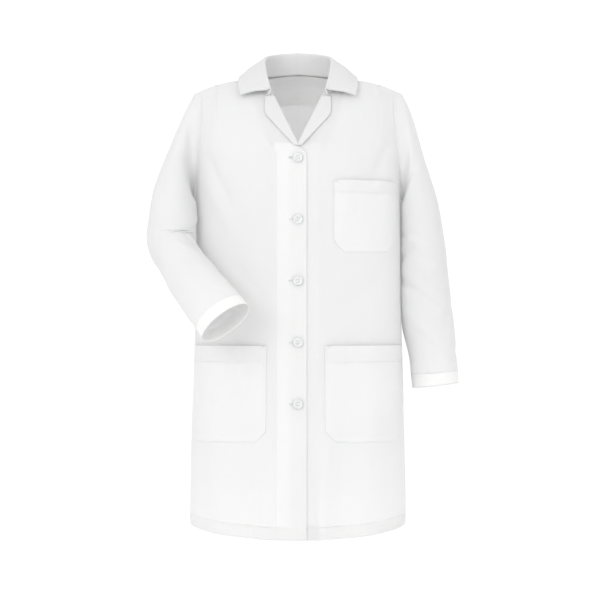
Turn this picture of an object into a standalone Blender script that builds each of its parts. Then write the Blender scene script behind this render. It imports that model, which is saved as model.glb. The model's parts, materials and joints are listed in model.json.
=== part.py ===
"""A women's knee-length lab coat, buttoned, as it hangs on a hidden form.

Frame: metres, +Z up, -Y is the coat's front, +X is the wearer's left. The origin is the middle of the
neck opening, at the height of the two points where the shoulder seams meet the collar.

The coat's body is drawn on one smooth surface, the torso. A place on it is a lap and a rise. The lap
goes round: 0 centre front, 1 the left side seam, 2 centre back, negative on the wearer's right. The
rise goes up: 0 the hem, 1 the shoulder seam. Each cut piece of cloth is a sheet laid on that surface
and given thickness.
"""

from math import atan2, cos, pi, radians, sin

import bmesh
import bpy
import numpy as np
from mathutils import Matrix, Vector

# --- Driving dimensions, in metres ----------------------------------------------------------------
HEM_Z = -0.913  # hem at the sides and back
FRONT_HEM_DIP = 0.011  # the hem hangs this much lower at centre front
CHEST_HALF_WIDTH = 0.2085
HEM_HALF_WIDTH = 0.219
FRONT_DEPTH = 0.116
BACK_DEPTH = 0.104
HEM_EXTRA_DEPTH = 0.013
BUST_FULLNESS = 0.011
SECTION_SQUARENESS = 3.0  # exponent of the body's superellipse section
FRONT_ROUNDING = 0.20  # height over which the front rounds over to the shoulder seam
BACK_ROUNDING = 0.13
NECK_HALF_WIDTH = 0.082
SHOULDER_END_X = 0.205
SHOULDER_DROP = 0.045
BACK_NECK_RIDGE = 0.045  # the back rises this much behind the neck
BACK_NECK_SEAM_Z = 0.018

FABRIC = 0.0009  # cloth thickness of one layer
LAYER = 0.0014  # pitch of two layers of cloth that lie on each other
SEAM_GAP = 0.0006  # half the gap between pieces that meet edge to edge

BUTTON_STAND = 0.017  # how far each front runs past the centre
FACING_WIDTH = 0.058
V_POINT_Z = -0.143  # where the two roll lines meet
STAND_TOP_Z = -0.165  # the front edge is straight below this
LAPEL_CORNER_X = 0.0655
LAPEL_CORNER_Z = -0.083
LAPEL_TOP_Z = -0.0440
LAPEL_BOTTOM_Z = -0.1400

BUTTON_COUNT = 5
TOP_BUTTON_Z = -0.171
BUTTON_SPACING = 0.121
BUTTON_RADIUS = 0.0095
BUTTONHOLE_LENGTH = 0.020
BUTTONHOLE_HEIGHT = 0.0032

ARMHOLE_Z = -0.145
ARMHOLE_HALF_HEIGHT = 0.1015
ARMHOLE_HALF_DEPTH = 0.0550
SLEEVE_SIDES = 18
CUFF_HEM_SHARE = 0.14  # share of the lower sleeve that its turned-up hem covers
ELBOW_CLEARANCE = 0.003  # the lower sleeve tucks inside the upper by this much
ELBOW_TAPER = 0.00016  # and narrows by this much more per degree, going up from its straight part

POCKET_CLIP = 0.021  # size of a pocket's cut-off bottom corners
POCKET_SEAM_OFFSET = 0.0024
QUARTER_ROUND = CHEST_HALF_WIDTH * 1.36  # from centre front to a side seam, round the body
BACK_VENT_HEIGHT = 0.25
BACK_VENT_WIDTH = 0.035

WHITE_CLOTH = (0.86, 0.875, 0.875)
PEARL_PLASTIC = (0.80, 0.81, 0.80)
WHITE_THREAD = (0.88, 0.88, 0.87)


# --- Blender helpers ------------------------------------------------------------------------------
def clear_scene():
    for item in list(bpy.data.objects):
        bpy.data.objects.remove(item, do_unlink=True)


def material(name, colour, roughness):
    made = bpy.data.materials.new(name)
    made.use_nodes = True
    shader = made.node_tree.nodes["Principled BSDF"]
    shader.inputs["Base Color"].default_value = (*colour, 1.0)
    shader.inputs["Roughness"].default_value = roughness
    shader.inputs["Metallic"].default_value = 0.0
    return made


def add_object(name, mesh, finish=None):
    item = bpy.data.objects.new(name, mesh)
    bpy.context.scene.collection.objects.link(item)
    if finish is not None and not mesh.materials:
        mesh.materials.append(finish)
    return item


def mesh_of(name, build):
    """A mesh filled by build(bm), smooth shaded apart from its sharp edges."""
    bm = bmesh.new()
    build(bm)
    bmesh.ops.recalc_face_normals(bm, faces=bm.faces)
    mesh = bpy.data.meshes.new(name)
    bm.to_mesh(mesh)
    bm.free()
    mesh.shade_smooth()
    mesh.set_sharp_from_angle(angle=radians(40))
    return mesh


def cloth(name, grid, finish, thickness=FABRIC, closed=False):
    """A sheet of cloth: rows of points joined by quads, thickened evenly to both sides."""
    rows, columns = grid.shape[:2]
    spans = columns if closed else columns - 1
    quads = []
    for r in range(rows - 1):
        low, high = r * columns, (r + 1) * columns
        for c in range(spans):
            n = (c + 1) % columns
            quads.append((low + c, low + n, high + n, high + c))
    mesh = bpy.data.meshes.new(name)
    mesh.from_pydata(grid.reshape(-1, 3).tolist(), [], quads)
    mesh.shade_smooth()
    item = add_object(name, mesh, finish)
    solidify = item.modifiers.new("thickness", "SOLIDIFY")
    solidify.thickness = thickness
    solidify.offset = 0.0
    solidify.use_even_offset = True
    return item


def cut(item, cutter):
    boolean = item.modifiers.new("cut", "BOOLEAN")
    boolean.operation = "DIFFERENCE"
    boolean.object = cutter


def as_cutter(item):
    item.hide_render = True
    item.display_type = "WIRE"
    return item


def parented(item, parent):
    """Parents item and keeps it where it is."""
    bpy.context.view_layer.update()
    item.parent = parent
    item.matrix_parent_inverse = parent.matrix_world.inverted()


def pivot(name, place):
    """An empty that stands on a joint's axis and carries what turns there."""
    empty = bpy.data.objects.new(name, None)
    empty.location = place
    bpy.context.scene.collection.objects.link(empty)
    return empty


# --- Curves and surfaces --------------------------------------------------------------------------
def through(points, count):
    """count points on a Catmull-Rom curve through the given ones, of any dimension."""
    p = np.array(points, float)
    p = np.vstack([2 * p[0] - p[1], p, 2 * p[-1] - p[-2]])
    at = np.linspace(0, len(points) - 1, count)
    i = np.minimum(at.astype(int), len(points) - 2)
    t = (at - i)[:, None]
    a, b, c, d = p[i], p[i + 1], p[i + 2], p[i + 3]
    square, cube = 2 * a - 5 * b + 4 * c - d, 3 * b - a - 3 * c + d
    return 0.5 * (2 * b + (c - a) * t + square * t**2 + cube * t**3)


def smooth_step(value, low, high):
    t = np.clip((value - low) / (high - low), 0, 1)
    return t * t * (3 - 2 * t)


def section_table():
    """Equal steps of arc length along a quarter of the body's section: shares across and deep."""
    angle = np.linspace(0, pi / 2, 400)
    across = np.sin(angle) ** (2 / SECTION_SQUARENESS) * CHEST_HALF_WIDTH
    deep = np.cos(angle) ** (2 / SECTION_SQUARENESS) * FRONT_DEPTH
    steps = np.hypot(np.diff(across), np.diff(deep))
    length = np.concatenate([[0], np.cumsum(steps)])
    return length / length[-1], across / CHEST_HALF_WIDTH, deep / FRONT_DEPTH


LAP, ACROSS, DEEP = section_table()


def ridge(x, back=False):
    """Height of the shoulder seam over x."""
    run = np.maximum(np.abs(x) - NECK_HALF_WIDTH, 0) / (SHOULDER_END_X - NECK_HALF_WIDTH)
    behind_neck = np.maximum(1 - (x / NECK_HALF_WIDTH) ** 2, 0) * BACK_NECK_RIDGE if back else 0
    return behind_neck - SHOULDER_DROP * run**1.25


def half_width(rise):
    return CHEST_HALF_WIDTH + (HEM_HALF_WIDTH - CHEST_HALF_WIDTH) * smooth_step(1 - rise, 0.42, 1.0)


def rounded(drop, height):
    """0 at the shoulder seam, growing along a quarter circle to 1 at that height below it."""
    left = 1 - np.clip(drop / height, 0, 1)
    return np.sqrt(np.maximum(1 - left**2, 0))


def depth_at(x, z, deep, rise, back):
    """How far the surface stands off the middle plane, front or back."""
    size = (BACK_DEPTH if back else FRONT_DEPTH) + HEM_EXTRA_DEPTH * (1 - rise) ** 2
    depth = size * deep * rounded(ridge(x, back) - z, BACK_ROUNDING if back else FRONT_ROUNDING)
    if back:
        return depth
    bust = np.exp(-(((np.abs(x) - 0.085) / 0.055) ** 2) - ((z + 0.235) / 0.08) ** 2)
    return depth + BUST_FULLNESS * bust * deep


def torso(lap, rise, inward=0.0):
    """Points of the body's surface at these laps and rises, moved in by inward."""
    lap, rise, inward = np.broadcast_arrays(*(np.asarray(v, float) for v in (lap, rise, inward)))
    turn = np.where(np.abs(lap) > 1, 2 - np.abs(lap), np.abs(lap))
    across, deep = np.interp(turn, LAP, ACROSS), np.interp(turn, LAP, DEEP)
    x = np.sign(lap) * half_width(rise) * across
    front, back = np.abs(lap) <= 1, np.abs(lap) > 1
    hem = HEM_Z - FRONT_HEM_DIP * deep * front
    z_front = hem + rise * (ridge(x) - hem)
    z_back = hem + rise * (ridge(x, True) - hem)
    y_front = -depth_at(x, z_front, deep, rise, False) - SEAM_GAP
    y_back = depth_at(x, z_back, deep, rise, True) + SEAM_GAP
    points = np.stack([x, np.where(back, y_back, y_front), np.where(back, z_back, z_front)], -1)
    # The inward direction: towards the axis by the section's shape, and down near the shoulder seam.
    lean = 1 - rounded(ridge(x) - points[..., 2], 0.06)
    into = np.stack([-np.sign(lap) * across**2, np.where(back, -1, 1) * deep**2, -lean], -1)
    into /= np.linalg.norm(into, axis=-1, keepdims=True)
    return points + into * inward[..., None]


def lap_of_x(x, rise):
    """The lap of the front at this distance from the centre."""
    share = np.clip(np.abs(x) / half_width(rise), 0, 1)
    return np.sign(x) * np.interp(share, ACROSS, LAP)


def rise_of_front(z, deep=1.0):
    """The rise of the front near its centre at height z."""
    hem = HEM_Z - FRONT_HEM_DIP * deep
    return (z - hem) / -hem


def front_surface(x, z, outward=0.0):
    """Points on the coat's front at x and z, within the width of the neck and the pockets."""
    x, z, outward = np.broadcast_arrays(*(np.asarray(v, float) for v in (x, z, outward)))
    rise = (z - HEM_Z) / (ridge(x) - HEM_Z)
    share = np.clip(np.abs(x) / half_width(rise), 0, 1)
    deep = (1 - share**SECTION_SQUARENESS) ** (1 / SECTION_SQUARENESS)
    depth = depth_at(x, z, deep, rise, False)
    return np.stack([x, -depth - outward, z], -1)


def back_surface(x, z):
    """Points on the coat's back at x and z, near its centre."""
    x, z = np.broadcast_arrays(x, z)
    rise = (z - HEM_Z) / (ridge(x, True) - HEM_Z)
    share = np.clip(np.abs(x) / half_width(rise), 0, 1)
    deep = (1 - share**SECTION_SQUARENESS) ** (1 / SECTION_SQUARENESS)
    return np.stack([x, depth_at(x, z, deep, rise, True) + SEAM_GAP, z], -1)


def even_normals(grid):
    """A normal at each point of a grid, longer where the grid folds, so that offsets stay even."""
    face = np.cross(grid[1:, 1:] - grid[:-1, :-1], grid[1:, :-1] - grid[:-1, 1:])
    face /= np.linalg.norm(face, axis=-1, keepdims=True)
    corners = np.pad(face, ((1, 1), (1, 1), (0, 0)), mode="edge")
    around = np.stack([corners[:-1, :-1], corners[1:, :-1], corners[:-1, 1:], corners[1:, 1:]])
    normal = around.sum(0)
    normal /= np.linalg.norm(normal, axis=-1, keepdims=True)
    return normal / np.maximum((around * normal).sum(-1).mean(0), 0.6)[..., None]


def offset(grid, distance, towards):
    """The grid moved by distance along its normals, to the side that towards points to."""
    normal = even_normals(grid)
    middle = normal[normal.shape[0] // 2, normal.shape[1] // 2]
    return grid + normal * distance * np.sign(middle @ np.array(towards))


# --- Fronts, facings and lapels -------------------------------------------------------------------
def roll_line(z):
    """Half the width of the V opening at height z."""
    return NECK_HALF_WIDTH * np.clip(1 - z / V_POINT_Z, 0, 1)


def front_edge(z):
    """How far a front's edge runs past the centre: its button stand, then back along the roll line."""
    stand = BUTTON_STAND * (1 - smooth_step(z, STAND_TOP_Z, V_POINT_Z))
    return stand - roll_line(z)


FRONT_HEIGHTS = np.concatenate([
    np.linspace(HEM_Z - FRONT_HEM_DIP, -0.30, 11, endpoint=False),
    np.linspace(-0.30, V_POINT_Z, 6, endpoint=False),
    np.linspace(V_POINT_Z, -0.04, 4, endpoint=False),
    np.linspace(-0.04, -0.004, 3, endpoint=False),
    [-0.0040, 0.0],
])
FACING_COLUMNS = 4


def front_laps(side):
    """The laps of a front's columns at each height: four across its facing, then to the side seam."""
    z = FRONT_HEIGHTS
    edge = front_edge(z)
    facing = FACING_WIDTH - 0.020 * smooth_step(z, V_POINT_Z, 0)
    x = np.stack([edge, edge - BUTTON_STAND, edge - 2 * BUTTON_STAND, edge - facing], 1)
    strip = lap_of_x(-side * x, rise_of_front(z)[:, None])
    share = np.linspace(0, 1, 8)[None, 1:]
    return np.concatenate([strip, strip[:, -1:] * (1 - share) + side * share], 1)


def front_grid(side, rows, columns, inward):
    """A grid on one front. The left front goes in behind the right one, by two layers of cloth."""
    laps = front_laps(side)[rows, columns]
    recess = np.zeros_like(laps)
    if side > 0:
        recess[:, :3] = 2 * LAYER * (1 - smooth_step(FRONT_HEIGHTS[rows], V_POINT_Z, -0.08))[:, None]
    return torso(laps, rise_of_front(FRONT_HEIGHTS[rows])[:, None], inward + recess)


def make_front(side, name, finish):
    """One front panel, from its edge past the centre to the side seam."""
    return cloth(name, front_grid(side, slice(None), slice(None), 0.0), finish)


def make_facing(side, name, finish):
    """The strip that lines a front's edge inside, from the hem to just under the shoulder seam."""
    return cloth(name, front_grid(side, slice(0, -1), slice(0, FACING_COLUMNS), LAYER), finish)


def make_lapel(side, name, finish):
    """The turned-back corner of a front, folded outwards on the roll line."""
    z = np.linspace(LAPEL_BOTTOM_Z, LAPEL_TOP_Z, 9)[:, None]
    slope = (LAPEL_CORNER_X - 0.004) / (LAPEL_CORNER_Z + 0.150)
    outer = np.minimum(LAPEL_CORNER_X, 0.004 + slope * (z + 0.150))
    share = np.linspace(0, 1, 4)[None, :]
    x = roll_line(z) * (1 - share) + outer * share
    lift = 0.0025 + 0.0012 * share
    return cloth(name, front_surface(side * x, z, lift), finish, thickness=1.5 * FABRIC)


# --- Back -----------------------------------------------------------------------------------------
def make_back(side, name, finish):
    """Half the back, from the side seam to the centre-back seam, cut out for the neck at its top."""
    columns = np.linspace(1 + 1e-6, 2 - 0.0025, 11)
    x = torso(columns, 0.98)[:, 0]
    neck_z = BACK_NECK_SEAM_Z * np.maximum(1 - (x / NECK_HALF_WIDTH) ** 2, 0)
    top = np.where(x < NECK_HALF_WIDTH, (neck_z - HEM_Z) / (ridge(x, True) - HEM_Z), 1.0)
    share = np.concatenate([
        np.linspace(0, 0.72, 10, endpoint=False),
        np.linspace(0.72, 0.96, 7, endpoint=False),
        np.linspace(0.96, 1, 5),
    ])
    return cloth(name, torso(side * columns[None, :], share[:, None] * top[None, :]), finish)


def make_neck_facing(name, finish):
    """The shaped strip that lines the back of the neck."""
    x = np.linspace(-0.070, 0.070, 11)[None, :]
    seam = BACK_NECK_SEAM_Z * (1 - (x / NECK_HALF_WIDTH) ** 2)
    down = np.linspace(0.052, 0.004, 5)[:, None]
    return cloth(name, offset(back_surface(x, seam - down), 2.5 * LAYER, (0, -1, -1)), finish)


def make_vent_underlay(name, finish):
    """The underlap of the centre-back vent, behind both halves of the back."""
    x = np.linspace(-BACK_VENT_WIDTH, BACK_VENT_WIDTH, 5)[None, :]
    z = np.linspace(HEM_Z + 0.001, HEM_Z + BACK_VENT_HEIGHT, 7)[:, None]
    return cloth(name, offset(back_surface(x, z), 1.5 * LAYER, (0, -1, 0)), finish)


# --- Collar ---------------------------------------------------------------------------------------
# Three curves shape each half of the collar, from centre back to its front end: the seam on the
# neckline, the roll where it folds over, and the outer edge of the fall.
COLLAR_SEAM = [
    (0.0000, 0.0640, 0.0200),
    (0.0450, 0.0555, 0.0150),
    (0.0795, 0.0060, 0.0050),
    (0.0730, -0.0435, -0.0095),
    (0.0575, -0.0780, -0.0425),
]
COLLAR_ROLL = [
    (0.0000, 0.0580, 0.0620),
    (0.0420, 0.0470, 0.0570),
    (0.0655, 0.0030, 0.0420),
    (0.0635, -0.0440, 0.0080),
    (0.0540, -0.0805, -0.0325),
]
COLLAR_EDGE = [
    (0.0000, 0.0900, 0.0040),
    (0.0660, 0.0790, 0.0040),
    (0.1130, 0.0070, 0.0045),
    (0.1195, -0.0460, -0.0200),
    (0.1150, -0.0795, -0.0490),
]
COLLAR_ROLL_WIDTH = 0.0080
COLLAR_PITCH = 0.0019  # from the upper to the under collar, with an interlining between


def half_collar(count):
    """Half of the collar's middle surface: rows along the neck, columns across the fold."""
    seam, roll, edge = (through(curve, count) for curve in (COLLAR_SEAM, COLLAR_ROLL, COLLAR_EDGE))
    outward = edge - seam
    outward[:, 2] = 0
    outward /= np.linalg.norm(outward, axis=1, keepdims=True)
    top = roll + outward * COLLAR_ROLL_WIDTH / 2 + [0, 0, 0.0042]
    over = roll + outward * COLLAR_ROLL_WIDTH
    belly = (over + edge) / 2 + outward * 0.002 + [0, 0, 0.001]
    stand = (seam + roll) / 2
    fall = [over, (over + belly) / 2, belly, (belly + edge) / 2, edge]
    return np.stack([seam, stand, roll, top, *fall], 1)


def collar_grid(count=11):
    left = half_collar(count)
    right = left[:0:-1] * [-1, 1, 1]
    return np.concatenate([right, left])


def make_collar(finish):
    """The upper collar, which shows, and the under collar, which faces it all the way round."""
    grid = collar_grid()
    for name, shift in (("upper_collar", COLLAR_PITCH / 2), ("under_collar", -COLLAR_PITCH / 2)):
        cloth(name, offset(grid, shift, (0, 0, 1)), finish)


# --- Sleeves --------------------------------------------------------------------------------------
# A station is one ring of a sleeve, in the X-Z plane of the wearer's left side: its top line point
# (x, z), its underarm line point (x, z), half its depth front to back, and the y of its centre. The
# right sleeve is the mirror image of its own stations.
ARMHOLE_STATION = (0.2095, -0.0450, 0.2095, -0.2450, 0.0535, 0.000)
LEFT_UPPER = [
    ARMHOLE_STATION,
    (0.2275, -0.0530, 0.2150, -0.2480, 0.0600, 0.002),
    (0.2470, -0.0950, 0.2150, -0.2620, 0.0670, 0.003),
    (0.2680, -0.1650, 0.2150, -0.2850, 0.0690, 0.003),
    (0.2880, -0.2500, 0.2152, -0.3120, 0.0670, 0.001),
    (0.3005, -0.3400, 0.2155, -0.3400, 0.0630, -0.002),
]
RIGHT_UPPER = [
    ARMHOLE_STATION,
    (0.2275, -0.0530, 0.2150, -0.2420, 0.0600, 0.001),
    (0.2480, -0.0950, 0.2150, -0.2530, 0.0670, -0.012),
    (0.2700, -0.1650, 0.2150, -0.2700, 0.0690, -0.038),
    (0.2900, -0.2350, 0.2165, -0.2920, 0.0650, -0.064),
    (0.3010, -0.3150, 0.2195, -0.3150, 0.0590, -0.071),
]
# A lower sleeve hangs straight from its elbow here: distance down, drift of its centre outwards and
# backwards, half its width, half its depth, and the degrees that its section is turned by.
LEFT_LOWER = [
    (0.000, 0.0000, 0.000, 0.0425, 0.0630, 0),
    (0.090, 0.0045, -0.006, 0.0475, 0.0560, 0),
    (0.170, 0.0110, -0.014, 0.0488, 0.0510, 0),
    (0.242, 0.0168, -0.024, 0.0480, 0.0460, 0),
    (0.288, 0.0200, -0.030, 0.0468, 0.0430, 0),
]
RIGHT_LOWER = [
    (0.000, 0.0000, 0.000, 0.0410, 0.0580, 0),
    (0.050, 0.0000, 0.000, 0.0435, 0.0510, 3),
    (0.105, -0.0005, 0.000, 0.0460, 0.0430, 7),
    (0.162, -0.0020, 0.000, 0.0485, 0.0360, 10),
    (0.217, -0.0040, 0.000, 0.0500, 0.0315, 11),
]
SHOULDER = (0.2075, 0.0, -0.0430)
# The elbows: where the crease is, the line that the lower sleeve turns about, and its bend as made.
LEFT_ELBOW = (0.2580, -0.0690, -0.3400)
LEFT_ELBOW_LINE = (-1, 0, 0)
RIGHT_ELBOW = (-0.2215, -0.1080, -0.3150)
RIGHT_ELBOW_LINE = (-0.75, -0.66, 0)
RIGHT_REST_BEND = 50


def ring(station, side):
    """One ring of an upper sleeve, as SLEEVE_SIDES points."""
    top_x, top_z, under_x, under_z, half_depth, y = station
    reach = np.array([(top_x - under_x) / 2, 0, (top_z - under_z) / 2])
    back = np.array([0, half_depth, 0])
    centre = np.array([(top_x + under_x) / 2, y, (top_z + under_z) / 2])
    turn = 2 * pi * np.arange(SLEEVE_SIDES) / SLEEVE_SIDES
    points = centre + np.cos(turn)[:, None] * reach + np.sin(turn)[:, None] * back
    return points * [side, 1, 1]


def turned(points, about, axis, degrees):
    """Points turned about a line through about, along axis."""
    matrix = np.array(Matrix.Rotation(radians(degrees), 3, Vector(axis)))
    return (points - about) @ matrix.T + about


def hanging_ring(elbow_centre, station, side, shrink=0.0):
    """One ring of a lower sleeve that hangs straight down from its elbow."""
    down, outwards, backwards, half_width_here, half_depth, twist = station
    turn = 2 * pi * np.arange(SLEEVE_SIDES) / SLEEVE_SIDES
    x = np.cos(turn) * (half_width_here - shrink)
    y = np.sin(turn) * (half_depth - shrink)
    spin = radians(twist)
    flat = np.stack([x * cos(spin) - y * sin(spin), x * sin(spin) + y * cos(spin), 0 * turn], 1)
    return (flat + elbow_centre + [outwards, backwards, -down]) * [side, 1, 1]


def fit_to_armhole(points, side):
    """Brings a sleeve's first ring against the coat's side, which the armhole is cut in."""
    y, z = np.abs(points[:, 1]), points[:, 2]
    rise = (z - HEM_Z) / (ridge(0.2) - HEM_Z)
    size = FRONT_DEPTH + HEM_EXTRA_DEPTH * (1 - rise) ** 2
    size = size * rounded(ridge(0.2) - z, FRONT_ROUNDING)
    share = np.clip(y / np.maximum(size, 0.001), 0, 0.62)
    x = half_width(rise) * (1 - share**SECTION_SQUARENESS) ** (1 / SECTION_SQUARENESS)
    points[:, 0] = side * (x + 0.0012)
    return points


def make_upper_sleeve(side, stations, name, finish):
    rings = [ring(station, side) for station in through(stations, 10)]
    rings[0] = fit_to_armhole(rings[0], side)
    return cloth(name, np.array(rings), finish, closed=True)


def elbow_centre(upper):
    """The middle of an upper sleeve's last ring, on the wearer's left side."""
    top_x, top_z, under_x, _, _, y = upper[-1]
    return np.array([(top_x + under_x) / 2, y, top_z])


def make_lower_sleeve(side, upper, lower, elbow, line, tuck, name, finish):
    """A lower sleeve, whose top is swept about the elbow line so that it slides in the upper one."""
    centre = elbow_centre(upper)
    about = np.array(elbow)
    bend = tuck[-1]
    rings = []
    for degrees in tuck:
        shrink = ELBOW_CLEARANCE + ELBOW_TAPER * (bend - degrees)
        rings.append(turned(hanging_ring(centre, lower[0], side, shrink), about, line, degrees))
    for station in through(lower, 8)[1:]:
        rings.append(turned(hanging_ring(centre, station, side), about, line, bend))
    return cloth(name, np.array(rings), finish, closed=True)


def make_cuff_hem(side, upper, lower, elbow, line, bend, name, finish):
    """The turned-up hem inside a cuff."""
    along = through(lower, 101)
    centre = elbow_centre(upper)
    first = int(100 * (1 - CUFF_HEM_SHARE))
    rings = [
        turned(hanging_ring(centre, along[i], side, LAYER), np.array(elbow), line, bend)
        for i in (first, (first + 99) // 2, 99)
    ]
    return cloth(name, np.array(rings), finish, closed=True)


def armhole_cutter(side):
    """An oval bar along X that cuts an armhole."""

    def build(bm):
        bmesh.ops.create_cone(bm, cap_ends=True, segments=32, radius1=1, radius2=1, depth=0.10)
        bmesh.ops.scale(bm, vec=(ARMHOLE_HALF_HEIGHT, ARMHOLE_HALF_DEPTH, 1), verts=bm.verts)

    cutter = add_object(f"cutter_armhole_{'left' if side > 0 else 'right'}", mesh_of("armhole", build))
    cutter.rotation_euler = (0, pi / 2, 0)
    cutter.location = (side * 0.222, 0, ARMHOLE_Z)
    return as_cutter(cutter)


# --- Pockets --------------------------------------------------------------------------------------
def make_pocket(name, side, near_x, width, top_z, height, fullness, finish):
    """A patch pocket with cut-off bottom corners, open at the top and full between its seams."""
    middle_z = top_z - height / 2
    near = float(lap_of_x(near_x, rise_of_front(middle_z)))
    wide = width / QUARTER_ROUND
    u = np.linspace(0, 1, 11)[None, :]
    straight = height - POCKET_CLIP
    down = np.concatenate([np.linspace(0, straight, 7), [straight + POCKET_CLIP / 2, height]])
    down = down[::-1, None]
    clip = np.maximum(down - straight, 0) / QUARTER_ROUND
    lap = near + clip + (wide - 2 * clip) * u
    rise = rise_of_front(top_z - down)
    off_sides = 1 - (2 * u - 1) ** 4
    off_bottom = smooth_step(height - down, 0, height * 0.45)
    lift = POCKET_SEAM_OFFSET + fullness * off_sides * off_bottom
    return cloth(name, torso(side * lap, rise, -lift), finish)


# --- Buttons --------------------------------------------------------------------------------------
BUTTON_STANDOFF = 0.0012  # from the right front's middle surface to the button's back
HOLE_OFFSET = 0.0021
HOLE_RADIUS = 0.00085


def spun(bm, geometry, steps):
    """A profile turned all the way round Z, and closed on the axis."""
    centre, axis = (0, 0, 0), (0, 0, 1)
    bmesh.ops.spin(bm, geom=geometry, cent=centre, axis=axis, angle=2 * pi, steps=steps, use_merge=True)
    bmesh.ops.remove_doubles(bm, verts=bm.verts, dist=1e-5)


def button_mesh(finish):
    """A four-hole coat button, turned about Z: a flat back, a rounded rim and a dished middle."""
    profile = [
        (0.0, 0.0),
        (0.0078, 0.0),
        (0.0092, 0.0008),
        (BUTTON_RADIUS, 0.0018),
        (0.0088, 0.0028),
        (0.0074, 0.0027),
        (0.0062, 0.0018),
        (0.0, 0.0016),
    ]

    def build(bm):
        ring_points = [bm.verts.new((r, 0, z)) for r, z in profile]
        edges = [bm.edges.new(pair) for pair in zip(ring_points, ring_points[1:])]
        spun(bm, ring_points + edges, 16)

    mesh = mesh_of("button", build)
    mesh.materials.append(finish)
    return mesh


def four_bars(bm, radius, low, high, sides):
    """Four upright bars at a button's holes."""
    for kx in (-1, 1):
        for ky in (-1, 1):
            place = Matrix.Translation((kx * HOLE_OFFSET, ky * HOLE_OFFSET, (low + high) / 2))
            size = {"radius1": radius, "radius2": radius, "depth": high - low}
            bmesh.ops.create_cone(bm, cap_ends=True, segments=sides, matrix=place, **size)


def thread_mesh(finish, reach):
    """What lies under a button: a pad of thread against it, and a wound shank through the slit."""
    pad_low, pad_high = -0.00050, -0.00015

    def build(bm):
        rows = [(0.0011, -reach), (0.0011, pad_low), (0.0034, pad_low), (0.0034, pad_high)]
        centre = bm.verts.new((0, 0, -reach))
        edge = [bm.verts.new((r, 0, z)) for r, z in rows]
        cap = bm.verts.new((0, 0, pad_high))
        line = [centre, *edge, cap]
        edges = [bm.edges.new(pair) for pair in zip(line, line[1:])]
        spun(bm, line + edges, 8)

    mesh = mesh_of("thread", build)
    mesh.materials.append(finish)
    return mesh


def stitches_mesh():
    """The legs through the four holes and the two stitches that join them in pairs on top."""

    def build(bm):
        foot, high = -0.0004, 0.0029
        half = 0.00045
        inner, outer, under = HOLE_OFFSET - half, HOLE_OFFSET + half, high - 2 * half
        outline = [(-outer, foot), (-inner, foot), (-inner, under), (inner, under)]
        outline += [(inner, foot), (outer, foot), (outer, high), (-outer, high)]
        for kx in (-1, 1):
            x = kx * HOLE_OFFSET - half
            face = bm.faces.new([bm.verts.new((x, y, z)) for y, z in outline])
            made = bmesh.ops.extrude_face_region(bm, geom=[face])
            moved = [v for v in made["geom"] if isinstance(v, bmesh.types.BMVert)]
            bmesh.ops.translate(bm, vec=(2 * half, 0, 0), verts=moved)

    return mesh_of("stitches", build)


def button_place(index):
    """Where a button's back lies on the right front, and how far the front leans there."""
    z = TOP_BUTTON_Z - index * BUTTON_SPACING
    rise = rise_of_front(z)
    here = torso(1e-6, rise)
    step = 0.004 / -HEM_Z
    above, below = torso(1e-6, rise + step), torso(1e-6, rise - step)
    lean = atan2(above[1] - below[1], above[2] - below[2])
    away = np.array([0, -cos(lean), sin(lean)])
    return here + away * BUTTON_STANDOFF, lean


def make_buttons(right_pieces, plastic, thread_finish):
    """Five buttons sewn to the left front, through slits in the right front and its facing."""
    reach = BUTTON_STANDOFF + 2 * LAYER - FABRIC / 2 - SEAM_GAP
    button_shape = button_mesh(plastic)
    thread_shape = thread_mesh(thread_finish, reach)
    stitch_shape = stitches_mesh()

    def holes(bm):
        four_bars(bm, HOLE_RADIUS, -0.002, 0.006, 8)

    hole_shape = mesh_of("button_holes", holes)

    def slit(bm):
        bmesh.ops.create_cube(bm, size=1)
        bmesh.ops.scale(bm, vec=(BUTTONHOLE_LENGTH, 0.012, BUTTONHOLE_HEIGHT), verts=bm.verts)

    slit_shape = mesh_of("buttonhole", slit)
    for index in range(BUTTON_COUNT):
        place, lean = button_place(index)
        stand = pivot(f"button_{index + 1}_axis", place)
        stand.rotation_euler = (pi / 2 - lean, 0, 0)
        button = add_object(f"button_{index + 1}", button_shape)
        thread = add_object(f"button_{index + 1}_thread", thread_shape)
        cutter = as_cutter(add_object(f"cutter_holes_{index + 1}", hole_shape))
        legs = as_cutter(add_object(f"cutter_legs_{index + 1}", stitch_shape))
        for item in (button, thread, cutter, legs):
            item.parent = stand
        cut(button, cutter)
        union = thread.modifiers.new("stitches", "BOOLEAN")
        union.operation = "UNION"
        union.object = legs
        opening = add_object(f"cutter_buttonhole_{index + 1}", slit_shape)
        opening.location = (0.0025 - BUTTONHOLE_LENGTH / 2, place[1], place[2])
        as_cutter(opening)
        for piece in right_pieces:
            cut(piece, opening)


# --- The coat -------------------------------------------------------------------------------------
def make_sleeves(finish):
    for side, word, upper, lower, elbow, line, tuck in (
        (1, "left", LEFT_UPPER, LEFT_LOWER, LEFT_ELBOW, LEFT_ELBOW_LINE, (-26, -13, 0)),
        (-1, "right", RIGHT_UPPER, RIGHT_LOWER, RIGHT_ELBOW, RIGHT_ELBOW_LINE,
         (-16, 0, 16, 33, RIGHT_REST_BEND)),
    ):
        shoulder = pivot(f"{word}_shoulder_axis", (side * SHOULDER[0], SHOULDER[1], SHOULDER[2]))
        bend = pivot(f"{word}_elbow_axis", elbow)
        parented(bend, shoulder)
        parented(make_upper_sleeve(side, upper, f"{word}_upper_sleeve", finish), shoulder)
        lower_name, hem_name = f"{word}_lower_sleeve", f"{word}_cuff_hem"
        parented(make_lower_sleeve(side, upper, lower, elbow, line, tuck, lower_name, finish), bend)
        parented(make_cuff_hem(side, upper, lower, elbow, line, tuck[-1], hem_name, finish), bend)


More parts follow.
